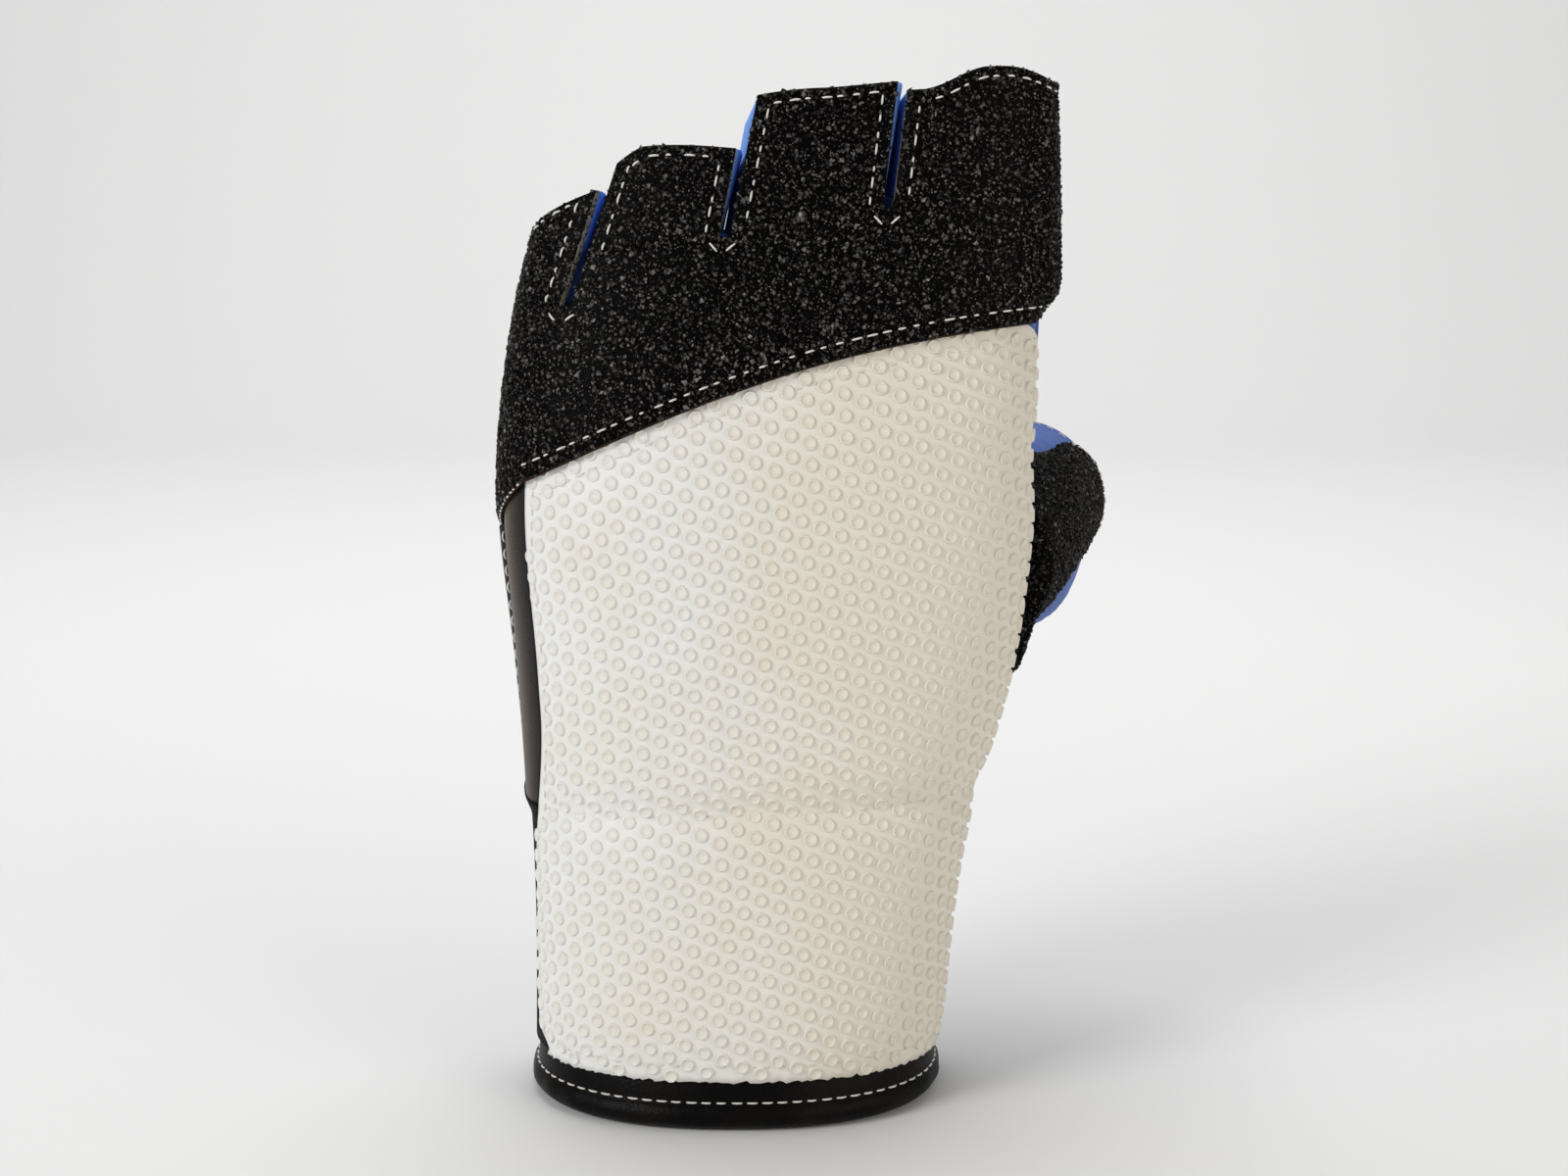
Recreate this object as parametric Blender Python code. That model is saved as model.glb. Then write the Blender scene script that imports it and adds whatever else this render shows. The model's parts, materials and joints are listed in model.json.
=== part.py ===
"""Padded half-finger target glove for the left hand, standing on its cuff.

Metres, +Z up. The back of the hand faces -Y, the thumb side is +X and the fingers point up.
The whole glove is one loft of rounded sections. A place on it is an angle round the section
(-180 degrees left, -90 back of the hand, 0 thumb side, 90 palm) and a height, and each piece is
a sheet, a pad or a ring cut from that loft at its own depth.
"""

import bpy
import numpy as np
from math import cos, radians, sin, tan

# Heights of the loft's sections, each above the one before: hem, wrist, heel, palm, knuckle, tip
WRIST_HEIGHT = 0.055
HEEL_RISE = 0.035
PALM_RISE = 0.034
KNUCKLE_RISE = 0.040
FINGER_REACH = 0.044

# Reach of each section to the little-finger side and to the thumb side of the cuff's centre
HEM_LEFT = 0.0418
WRIST_LEFT = 0.0420
HEEL_LEFT = 0.0437
PALM_LEFT = 0.0457
KNUCKLE_LEFT = 0.0410
TIP_LEFT = 0.0275
HEM_RIGHT = 0.0414
WRIST_RIGHT = 0.0472
HEEL_RIGHT = 0.0562
PALM_RIGHT = 0.0602
KNUCKLE_RIGHT = 0.0629
TIP_RIGHT = 0.0622

# Reach of each section to the back of the hand and to the palm, from its widest line
HEM_BACK = 0.0330
WRIST_BACK = 0.0272
HEEL_BACK = 0.0272
PALM_BACK = 0.0260
KNUCKLE_BACK = 0.0215
TIP_BACK = 0.0165
HEM_PALM = 0.0270
WRIST_PALM = 0.0250
HEEL_PALM = 0.0265
PALM_PALM = 0.0260
KNUCKLE_PALM = 0.0170
TIP_PALM = 0.0105

# The fingers curl a little towards the palm, and the sections get squarer towards them
KNUCKLE_CURL = 0.0010
TIP_CURL = 0.0060
HEM_SQUARENESS = 2.3
TIP_SQUARENESS = 2.9

# Sheet and pad thicknesses, and the clearance left between pieces that touch
RUBBER = 0.0018
LEATHER = 0.0012
LINING = 0.0008
FOAM = 0.0050
KNUCKLE_FOAM = 0.0035
FINGER_GRIP = 0.0021
CLEARANCE = 0.0003
SEAM_CLEARANCE = 0.0006
JOINT_GAP = 0.0004

# Rolled binding round the hem
BINDING_HEIGHT = 0.0112
BINDING_BULGE = 0.0009
BINDING_CORNER = 0.0042
BINDING_INNER_CORNER = 0.0016
BINDING_SHOULDER = 0.0066

# White back panel: how far it stops short of the little-finger side, its crown and its sewn edge
PANEL_INSET_CUFF = 0.0004
PANEL_INSET_HAND = 0.0054
PANEL_CROWN = 0.0016
PANEL_EDGE_WIDTH = 0.014
PANEL_RIGHT_EDGE = radians(-6)
PANEL_TUCK = 0.005
PAD_MARGIN = 0.003

# Moulded pimples of the white rubber, only some of which are modelled
PIMPLE_RADIUS = 0.0014
PIMPLE_TOP_RADIUS = 0.0010
PIMPLE_HEIGHT = 0.0006

# Quilted wrist seam that the hand folds back on
SEAM_RISE = 0.0082
SEAM_TILT = radians(2.3)
SEAM_DIP = 0.0008

# Lower edge of the grit-rubber knuckle panel, below the knuckle section
GRIT_EDGE_RIGHT = 0.0051
GRIT_EDGE_MIDDLE = 0.0142
GRIT_EDGE_LEFT = 0.0361
GRIT_EDGE_LEFT_ANGLE = radians(-150)
GRIT_SIDE_DROP = 0.0125

# Seam on the little-finger side, its welt, and the elastic insert below it
SIDE_SEAM = radians(-184)
WELT_HEIGHT = 0.0015
WELT_WIDTH = 0.0024
ELASTIC_ANGLE = radians(34)

# Slits between the fingers: place, lean and width on the back, and how far they lie aside on the palm
LITTLE_SLIT_X = -0.0315
RING_SLIT_X = -0.0014
MIDDLE_SLIT_X = 0.0298
LITTLE_SLIT_LEAN = radians(17.8)
RING_SLIT_LEAN = radians(11.4)
MIDDLE_SLIT_LEAN = radians(7.2)
SLIT_WIDTH = 0.0020
PALM_SLIT_WIDTH = 0.0007
LITTLE_PALM_SHIFT = 0.0005
RING_PALM_SHIFT = -0.0016
MIDDLE_PALM_SHIFT = -0.0012

# Root and top of each finger stall above the knuckle section, at its left and right edge, and the
# bulge of its top edge between them
LITTLE_ROOT_LEFT = 0.0018
LITTLE_ROOT_RIGHT = -0.0016
RING_ROOT_LEFT = 0.0085
RING_ROOT_RIGHT = 0.0120
MIDDLE_ROOT_LEFT = 0.0145
MIDDLE_ROOT_RIGHT = 0.0171
INDEX_ROOT_LEFT = 0.0190
INDEX_ROOT_RIGHT = 0.0190
LITTLE_TOP_LEFT = 0.0123
LITTLE_TOP_RIGHT = 0.0206
RING_TOP_LEFT = 0.0283
RING_TOP_RIGHT = 0.0286
MIDDLE_TOP_LEFT = 0.0387
MIDDLE_TOP_RIGHT = 0.0413
INDEX_TOP_LEFT = 0.0397
INDEX_TOP_RIGHT = 0.0412
LITTLE_BULGE = 0.0001
RING_BULGE = 0.0008
MIDDLE_BULGE = 0.0003
INDEX_BULGE = 0.0040
PALM_SIDE_DROP = 0.0055
OUTER_WALL_ANGLE = radians(20)
LITTLE_EDGE_ANGLE = radians(6)
WALL_INSET = 0.0004

# Thumb stall: where its axis starts inside the hand, its direction and its radii
THUMB_INSET = 0.0172
THUMB_DEPTH = 0.006
THUMB_DROP = 0.0152
THUMB_OUT = radians(18.4)
THUMB_RISE = radians(6)
THUMB_LENGTH = 0.067
THUMB_ROOT_RADIUS = 0.0170
THUMB_BELLY_RADIUS = 0.0194
THUMB_MOUTH_RADIUS = 0.0165
THUMB_PATCH_HALF_ANGLE = radians(47)
THUMB_PATCH_FACING = radians(4)
THUMB_PATCH_ROUND = 0.014

# Grit-rubber patches of the palm and of the heel of the thumb
PALM_PATCH_LEFT = radians(150)
PALM_PATCH_RIGHT = radians(78)
PALM_PATCH_FOOT = 0.030
PALM_PATCH_TOP = 0.018
PALM_PATCH_ROUND = 0.014
TAIL_ANGLE = radians(24)
TAIL_FOOT = 0.0375
TAIL_SLOPE = 0.007

STATIONS = np.cumsum([0, WRIST_HEIGHT, HEEL_RISE, PALM_RISE, KNUCKLE_RISE, FINGER_REACH])
PALM_HEIGHT = STATIONS[3]
KNUCKLE_HEIGHT = STATIONS[4]
SEAM_HEIGHT = WRIST_HEIGHT + SEAM_RISE
LEFT = [HEM_LEFT, WRIST_LEFT, HEEL_LEFT, PALM_LEFT, KNUCKLE_LEFT, TIP_LEFT]
RIGHT = [HEM_RIGHT, WRIST_RIGHT, HEEL_RIGHT, PALM_RIGHT, KNUCKLE_RIGHT, TIP_RIGHT]
BACK = [HEM_BACK, WRIST_BACK, HEEL_BACK, PALM_BACK, KNUCKLE_BACK, TIP_BACK]
PALM = [HEM_PALM, WRIST_PALM, HEEL_PALM, PALM_PALM, KNUCKLE_PALM, TIP_PALM]
CURL = [0, 0, 0, 0, KNUCKLE_CURL, TIP_CURL]
FULL_TURN = radians(360)

# Counts of the mesh grids
RING_STEPS = 52
THUMB_SIDES = 28
THUMB_ROWS = 8
CUFF_ROWS = 9
HAND_ROWS = 14
PANEL_COLUMNS = 21
PAD_COLUMNS = 15
STRIP_COLUMNS = 7
STALL_ROWS = 6
STALL_COLUMNS = 9
PALM_ROWS = 16
PATCH_COLUMNS = 13
PATCH_ROWS = 10
EDGE_STEPS = 5
HALVINGS = 40
SEAM_SHARPNESS = 6

FINISHES = {
    "pimple_rubber": ((0.76, 0.73, 0.64), 0.55),
    "grit_rubber": ((0.012, 0.012, 0.012), 0.85),
    "black_leather": ((0.018, 0.016, 0.015), 0.45),
    "blue_leather": ((0.045, 0.10, 0.34), 0.50),
    "elastic": ((0.015, 0.015, 0.016), 0.80),
    "foam": ((0.35, 0.35, 0.36), 0.90),
    "lining": ((0.05, 0.05, 0.055), 0.95),
}


def clear_scene():
    for item in list(bpy.data.objects):
        bpy.data.objects.remove(item, do_unlink=True)


def loft(values, z):
    """Value at height z on a smooth (Hermite) curve through one value per section."""
    values = np.array(values, dtype=float)
    slopes = np.gradient(values, STATIONS)
    k = np.clip(np.searchsorted(STATIONS, z) - 1, 0, len(STATIONS) - 2)
    step = STATIONS[k + 1] - STATIONS[k]
    t = (z - STATIONS[k]) / step
    start = values[k] * (1 + 2 * t) * (1 - t) ** 2 + slopes[k] * step * t * (1 - t) ** 2
    end = values[k + 1] * t ** 2 * (3 - 2 * t) - slopes[k + 1] * step * t ** 2 * (1 - t)
    return start + end


def section(z):
    """Centre and half width in X, widest line in Y, reach to back and palm, and squareness."""
    left = loft(LEFT, z)
    right = loft(RIGHT, z)
    power = HEM_SQUARENESS + (TIP_SQUARENESS - HEM_SQUARENESS) * z / STATIONS[-1]
    return (right - left) / 2, (right + left) / 2, loft(CURL, z), loft(BACK, z), loft(PALM, z), power


def skin(phi, z, lift=0.0):
    """Point at angle phi and height z, lifted out of the loft's surface (superellipse sections)."""
    phi, z, lift = np.broadcast_arrays(phi, z, lift)
    mid, half, side, back, palm, power = section(z)
    c = np.cos(phi)
    s = np.sin(phi)
    depth = np.where(s < 0, back, palm)
    normal_x = np.sign(c) * np.abs(c) ** (2 - 2 / power) / half
    normal_y = np.sign(s) * np.abs(s) ** (2 - 2 / power) / depth
    size = np.hypot(normal_x, normal_y)
    x = mid + half * np.sign(c) * np.abs(c) ** (2 / power) + lift * normal_x / size
    y = side + depth * np.sign(s) * np.abs(s) ** (2 / power) + lift * normal_y / size
    return np.stack([x, y, z], axis=-1)


def back_angle(x, z):
    """Angle of the point at x on the back of the loft; the palm's point is at minus this angle."""
    mid, half, _, _, _, power = section(np.asarray(z, dtype=float))
    t = np.clip((x - mid) / half, -1, 1)
    return -np.arccos(np.sign(t) * np.abs(t) ** (power / 2))


def material(name, finish):
    colour, roughness = FINISHES[finish]
    made = bpy.data.materials.new(name)
    made.use_nodes = True
    shader = made.node_tree.nodes["Principled BSDF"]
    shader.inputs["Base Color"].default_value = (*colour, 1)
    shader.inputs["Roughness"].default_value = roughness
    shader.inputs["Metallic"].default_value = 0
    return made


def add_object(name, points, faces, finish, carrier):
    """Mesh object whose points are given in the glove's frame and held from its carrier's origin."""
    pivot = np.array(carrier.location) if carrier.parent else np.zeros(3)
    mesh = bpy.data.meshes.new(name)
    mesh.from_pydata((points.reshape(-1, 3) - pivot).tolist(), [], faces)
    mesh.materials.append(material(name, finish))
    mesh.shade_smooth()
    mesh.set_sharp_from_angle(angle=radians(40))
    piece = bpy.data.objects.new(name, mesh)
    bpy.context.collection.objects.link(piece)
    piece.parent = carrier
    return piece


def grid_faces(rows, cols, start=0, flip=False):
    """Quads of a rows by cols grid of points, counted row by row."""
    faces = []
    for i in range(rows - 1):
        for j in range(cols - 1):
            a = start + i * cols + j
            quad = (a, a + 1, a + cols + 1, a + cols)
            faces.append(quad[::-1] if flip else quad)
    return faces


def sheet(name, points, thickness, finish, carrier):
    """Curved sheet with the given outer face and its thickness to the inside."""
    rows, cols = points.shape[:2]
    piece = add_object(name, points, grid_faces(rows, cols), finish, carrier)
    wall = piece.modifiers.new("thickness", "SOLIDIFY")
    wall.thickness = thickness
    wall.offset = -1
    return piece


def raise_pimples(points, faces, cells):
    """Replaces the given quads by six-sided pimples that stand on the middle of each."""
    points = points.reshape(-1, 3).tolist()
    turns = np.linspace(0, FULL_TURN, 6, endpoint=False)[:, None]
    for cell in cells:
        a, b, c, d = faces[cell]
        corner = np.array([points[k] for k in (a, b, c, d)])
        normal = np.cross(corner[2] - corner[0], corner[3] - corner[1])
        normal /= np.linalg.norm(normal)
        across = corner[1] - corner[0] + corner[2] - corner[3]
        across -= normal * (across @ normal)
        across /= np.linalg.norm(across)
        spokes = across * np.cos(turns) + np.cross(normal, across) * np.sin(turns)
        middle = corner.mean(axis=0)
        r = list(range(len(points), len(points) + 6))
        t = [k + 6 for k in r]
        points += (middle + PIMPLE_RADIUS * spokes).tolist()
        points += (middle + PIMPLE_HEIGHT * normal + PIMPLE_TOP_RADIUS * spokes).tolist()
        faces[cell] = tuple(t)
        faces += [(b, c, r[0]), (c, r[1], r[0]), (c, d, r[2]), (c, r[2], r[1]), (d, r[3], r[2])]
        faces += [(d, a, r[3]), (a, r[4], r[3]), (a, b, r[5]), (a, r[5], r[4]), (b, r[0], r[5])]
        faces += [(r[k - 1], r[k], t[k], t[k - 1]) for k in range(6)]
    return np.array(points), faces


def pimple_cells(rows, cols):
    """Numbers of the quads that carry a pimple: every second one of every second row, set off in turn."""
    return [i * (cols - 1) + j for i in range(1, rows - 2, 2) for j in range(2 - i // 2 % 2, cols - 2, 2)]


def pad(name, outer, inner, finish, carrier, pimples=()):
    """Closed pad between an outer and an inner grid of the same size, with pimples on some outer quads."""
    rows, cols = outer.shape[:2]
    count = rows * cols
    faces = grid_faces(rows, cols) + grid_faces(rows, cols, count, flip=True)
    edge = [j for j in range(cols)]
    edge += [i * cols + cols - 1 for i in range(1, rows)]
    edge += [(rows - 1) * cols + j for j in range(cols - 2, -1, -1)]
    edge += [i * cols for i in range(rows - 2, 0, -1)]
    for a, b in zip(edge, edge[1:] + edge[:1]):
        faces.append((b, a, a + count, b + count))
    points, faces = raise_pimples(np.stack([outer, inner]), faces, pimples)
    return add_object(name, points, faces, finish, carrier)


def ring(name, profile, steps, finish, carrier):
    """Profile of (lift, height) points, counted anticlockwise seen with +X outwards, round the loft."""
    phi = np.linspace(0, FULL_TURN, steps, endpoint=False)[:, None]
    profile = np.array(profile)
    points = skin(phi, profile[:, 1][None], profile[:, 0][None])
    size = len(profile)
    faces = []
    for i in range(steps):
        for j in range(size):
            k = (j + 1) % size
            n = (i + 1) % steps
            faces.append((i * size + j, n * size + j, n * size + k, i * size + k))
    return add_object(name, points, faces, finish, carrier)


def patch(columns, foot, top, rows, lift=0.0):
    """Grid on the loft: one column per angle, each running from its foot height to its top."""
    v = np.linspace(0, 1, rows)[:, None]
    phi = np.asarray(columns, dtype=float)[None, :]
    z = foot * (1 - v) + top * v
    return skin(phi, z, lift(phi, z, v) if callable(lift) else lift)


def seam_height(phi):
    """Height of the tilted wrist seam at an angle round the loft."""
    return SEAM_HEIGHT + tan(SEAM_TILT) * skin(phi, SEAM_HEIGHT)[..., 0]


def grit_edge(phi):
    """Lower edge of the knuckle panel: a parabola across the back, falling away on the outer side."""
    x = skin(phi, KNUCKLE_HEIGHT)[..., 0]
    left = skin(GRIT_EDGE_LEFT_ANGLE, KNUCKLE_HEIGHT)[0]
    right = skin(PANEL_RIGHT_EDGE, KNUCKLE_HEIGHT)[0]
    t = np.clip((x - left) / (right - left), 0, 1)
    blend = GRIT_EDGE_LEFT * (1 - t) * (1 - 2 * t) + GRIT_EDGE_MIDDLE * 4 * t * (1 - t)
    drop = blend + GRIT_EDGE_RIGHT * t * (2 * t - 1)
    side = np.clip((GRIT_EDGE_LEFT_ANGLE - phi) / (GRIT_EDGE_LEFT_ANGLE - SIDE_SEAM), 0, 1)
    return KNUCKLE_HEIGHT - drop - GRIT_SIDE_DROP * side


def panel_left(z):
    """Angle of the white panel's edge on the little-finger side."""
    t = np.clip((z - WRIST_HEIGHT + SEAM_RISE) / HEEL_RISE, 0, 1)
    inset = PANEL_INSET_CUFF + (PANEL_INSET_HAND - PANEL_INSET_CUFF) * t * t * (3 - 2 * t)
    return back_angle(inset - loft(LEFT, z), z)


def gap_angle(gap=SEAM_CLEARANCE):
    """Angle that leaves a gap of this width at the loft's sides."""
    return gap / WRIST_BACK


def panel_grid(foot, top, rows, cols, left_gap, right_gap, lift):
    """Grid of the white back panel between two edges, narrower at both sides by the given gaps."""
    v = np.linspace(0, 1, rows)[:, None]
    u = np.linspace(0, 1, cols)[None, :]
    right = PANEL_RIGHT_EDGE - gap_angle(right_gap)
    phi = GRIT_EDGE_LEFT_ANGLE * (1 - u) + right * u + 0 * v
    for _ in range(EDGE_STEPS):
        z = foot(phi) * (1 - v) + top(phi) * v
        phi = (panel_left(z) + gap_angle(left_gap)) * (1 - u) + right * u
    return skin(phi, z, lift(u, v, z))


def crown(u, v, span, tuck):
    """Height of a sewn pad's crown: 0 at its edges and under the tuck, rising to 1 over the edge width."""
    side = np.clip(np.minimum(u, 1 - u) * (WRIST_LEFT + WRIST_RIGHT) / PANEL_EDGE_WIDTH, 0, 1)
    end = np.clip(np.minimum(v * span, (1 - v) * span - tuck) / PANEL_EDGE_WIDTH, 0, 1)
    return (1 - (1 - side) ** 2) * (1 - (1 - end) ** 2)


def back_panel(prefix, foot, top, rows, dip_at_foot, dip_at_top, tuck, carrier):
    """White panel, foam pad and lining of one half of the back, sewn down along the wrist seam."""
    middle = np.array([radians(-90)])
    span = float((top(middle) - foot(middle))[0])

    def outside(depth):
        def lift(u, v, z):
            dip = dip_at_foot * (1 - v) ** SEAM_SHARPNESS + dip_at_top * v ** SEAM_SHARPNESS
            return PANEL_CROWN * crown(u, v, span, tuck) - SEAM_DIP * dip - depth
        return lift

    def inside(depth):
        return lambda u, v, z: -depth + 0 * u * v

    foam_foot = shifted(foot, PAD_MARGIN if dip_at_top else JOINT_GAP / 2)
    foam_top = shifted(top, -PAD_MARGIN)
    outer, inner = [panel_grid(foot, top, rows, PANEL_COLUMNS, 0, 0, outside(d)) for d in (0, RUBBER)]
    pimples = pimple_cells(rows, PANEL_COLUMNS)
    pad(prefix + "_grip_panel", outer, inner, "pimple_rubber", carrier, pimples)
    foam_depth = RUBBER + CLEARANCE
    foam_back = foam_depth + SEAM_DIP + FOAM
    depths = (outside(foam_depth), inside(foam_back), inside(foam_back + CLEARANCE))
    count = (rows - 1, PAD_COLUMNS)
    grids = [panel_grid(foam_foot, foam_top, *count, PAD_MARGIN, PAD_MARGIN, lift) for lift in depths]
    outer, inner, cloth = grids
    pad(prefix + "_foam", outer, inner, "foam", carrier)
    sheet(prefix + "_lining", cloth, LINING, "lining", carrier)


def shifted(edge, distance):
    """Edge moved up by a distance."""
    return lambda phi: edge(phi) + distance


def slit_line(x, foot, lean, aside, side):
    """Edge of a finger beside a slit: x at height z, half the slit's width to one side."""
    def line(z, palm):
        width = PALM_SLIT_WIDTH if palm else SLIT_WIDTH
        middle = x + aside if palm else x
        return middle + (z - foot) * tan(lean) + side * width / 2 / cos(lean)
    return line


class Finger:
    """Lean and edges of one finger stall: x along each side, root and top heights at both sides."""

    def __init__(self, name, lean, bulge, root, top, left, right):
        self.name = name
        self.lean = lean
        self.bulge = bulge
        self.root = [KNUCKLE_HEIGHT + rise for rise in root]
        self.top = [KNUCKLE_HEIGHT + rise for rise in top]
        self.left = left
        self.right = right

    def edge_angle(self, side, z, palm):
        """Angle along the left or right edge; an outer edge follows the loft's own side."""
        line = self.left if side == "left" else self.right
        if line:
            angle = back_angle(line(z, palm), z)
            return -angle if palm else angle
        if side == "left":
            outer = FULL_TURN + SIDE_SEAM - OUTER_WALL_ANGLE if palm else SIDE_SEAM + LITTLE_EDGE_ANGLE
        else:
            outer = OUTER_WALL_ANGLE if palm else PANEL_RIGHT_EDGE
        return np.full(np.shape(z), outer)

    def sides(self, palm, z_left, z_right):
        """Angles of the left and right edge, on the back or on the palm side."""
        return self.edge_angle("left", z_left, palm), self.edge_angle("right", z_right, palm)

    def root_edge(self, palm, steps):
        """Angles and heights along the stall's root, from left to right."""
        left, right = self.sides(palm, np.array(self.root[:1]), np.array(self.root[1:]))
        return np.linspace(left[0], right[0], steps), np.linspace(*self.root, steps)

    def grid(self, palm, rows, cols, lift):
        """Grid of the stall's back or palm side, straight along its edges."""
        v = np.linspace(0, 1, rows)[:, None]
        u = np.linspace(0, 1, cols)[None, :]
        drop = PALM_SIDE_DROP if palm else 0
        foot = [z + JOINT_GAP / 2 for z in self.root]
        z_left = foot[0] + (self.top[0] - drop - foot[0]) * v
        z_right = foot[1] + (self.top[1] - drop - foot[1]) * v
        left, right = self.sides(palm, z_left, z_right)
        phi = left * (1 - u) + right * u
        z = z_left * (1 - u) + z_right * u + self.bulge * 4 * u * (1 - u) * v
        if palm:
            phi = phi[:, ::-1]
            z = z[:, ::-1]
        return skin(phi, z, lift)

    def slit_wall(self, side, inset, rows, cols):
        """Grid of the flat wall beside a slit, set in from the edge, from the back to the palm side."""
        k = 0 if side == "left" else 1
        line = self.left if side == "left" else self.right
        shift = inset if side == "left" else -inset
        v = np.linspace(0, 1, rows)[:, None]
        u = np.linspace(0, 1, cols)[None, :, None]
        ends = skin(*self.root_edge(False, 2))
        width = ends[1, 0] - ends[0, 0]
        foot = self.root[k] + (self.root[1 - k] - self.root[k]) * inset / width + JOINT_GAP / 2
        z_back = foot + (self.top[k] - foot) * v
        z_palm = foot + (self.top[k] - PALM_SIDE_DROP - foot) * v
        x_back = line(z_back, False) + shift
        x_palm = line(z_palm, True) + shift
        back = skin(back_angle(x_back, z_back), z_back, -CLEARANCE)
        palm = skin(-back_angle(x_palm, z_palm), z_palm, -LEATHER - CLEARANCE)
        points = back * (1 - u) + palm * u
        return points[:, ::-1] if side == "left" else points

    def outer_wall(self, side, rows, cols):
        """Grid of the curved wall on the outer side of the little finger or the index."""
        k = 0 if side == "left" else 1
        v = np.linspace(0, 1, rows)[:, None]
        u = np.linspace(0, 1, cols)[None, :]
        edge = np.array([self.root[k]])
        back = self.sides(False, edge, edge)[k][0]
        palm = self.sides(True, edge, edge)[k][0]
        if side == "left":
            palm -= FULL_TURN
        near = gap_angle() * np.sign(palm - back)
        phi = (back + near) * (1 - u) + (palm - near) * u
        foot = self.root[k] + JOINT_GAP / 2
        z = foot + (self.top[k] - PALM_SIDE_DROP * u - foot) * v
        points = skin(phi, z)
        return points[:, ::-1] if side == "left" else points


def slit_finger_list():
    """The four stalls from the little finger to the index, sharing the slits between them."""
    feet = [KNUCKLE_HEIGHT + rise for rise in (LITTLE_ROOT_RIGHT, RING_ROOT_RIGHT, MIDDLE_ROOT_RIGHT)]
    places = (LITTLE_SLIT_X, RING_SLIT_X, MIDDLE_SLIT_X)
    leans = (LITTLE_SLIT_LEAN, RING_SLIT_LEAN, MIDDLE_SLIT_LEAN)
    asides = (LITTLE_PALM_SHIFT, RING_PALM_SHIFT, MIDDLE_PALM_SHIFT)
    slits = list(zip(places, feet, leans, asides))
    before = [slit_line(*slit, -1) for slit in slits] + [None]
    after = [None] + [slit_line(*slit, 1) for slit in slits]
    names = ("little", "ring", "middle", "index")
    between = [(a + b) / 2 for a, b in zip(leans, leans[1:])]
    roots = ((LITTLE_ROOT_LEFT, LITTLE_ROOT_RIGHT), (RING_ROOT_LEFT, RING_ROOT_RIGHT),
             (MIDDLE_ROOT_LEFT, MIDDLE_ROOT_RIGHT), (INDEX_ROOT_LEFT, INDEX_ROOT_RIGHT))
    tops = ((LITTLE_TOP_LEFT, LITTLE_TOP_RIGHT), (RING_TOP_LEFT, RING_TOP_RIGHT),
            (MIDDLE_TOP_LEFT, MIDDLE_TOP_RIGHT), (INDEX_TOP_LEFT, INDEX_TOP_RIGHT))
    bulges = (LITTLE_BULGE, RING_BULGE, MIDDLE_BULGE, INDEX_BULGE)
    stall_leans = [leans[0], *between, leans[-1]]
    return [Finger(*values) for values in zip(names, stall_leans, bulges, roots, tops, after, before)]


FINGERS = slit_finger_list()


def hand_edge(palm, steps):
    """Angles and heights of the hand's stepped top edge: stall roots, with a level foot in each slit."""
    edges = []
    for finger, after in zip(FINGERS, FINGERS[1:] + [None]):
        edges.append(finger.root_edge(palm, steps))
        if after:
            foot = np.array(finger.root[1:])
            edges.append((after.edge_angle("left", foot, palm), foot))
    phi = np.concatenate([edge[0] for edge in edges])
    z = np.concatenate([edge[1] for edge in edges])
    near = gap_angle()
    if palm:
        phi = np.concatenate([[FULL_TURN + SIDE_SEAM - near], phi, [PANEL_RIGHT_EDGE + near]])[::-1]
        z = np.concatenate([z[:1], z, z[-1:]])[::-1]
    else:
        phi = np.concatenate([[SIDE_SEAM + near], phi])
        z = np.concatenate([z[:1], z])
    return phi, z - JOINT_GAP / 2


def carrier(name, parent, place):
    """Empty that carries the pieces of one body, placed on its joint's axis."""
    empty = bpy.data.objects.new(name, None)
    empty.location = place
    empty.parent = parent
    bpy.context.collection.objects.link(empty)
    return empty


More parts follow.
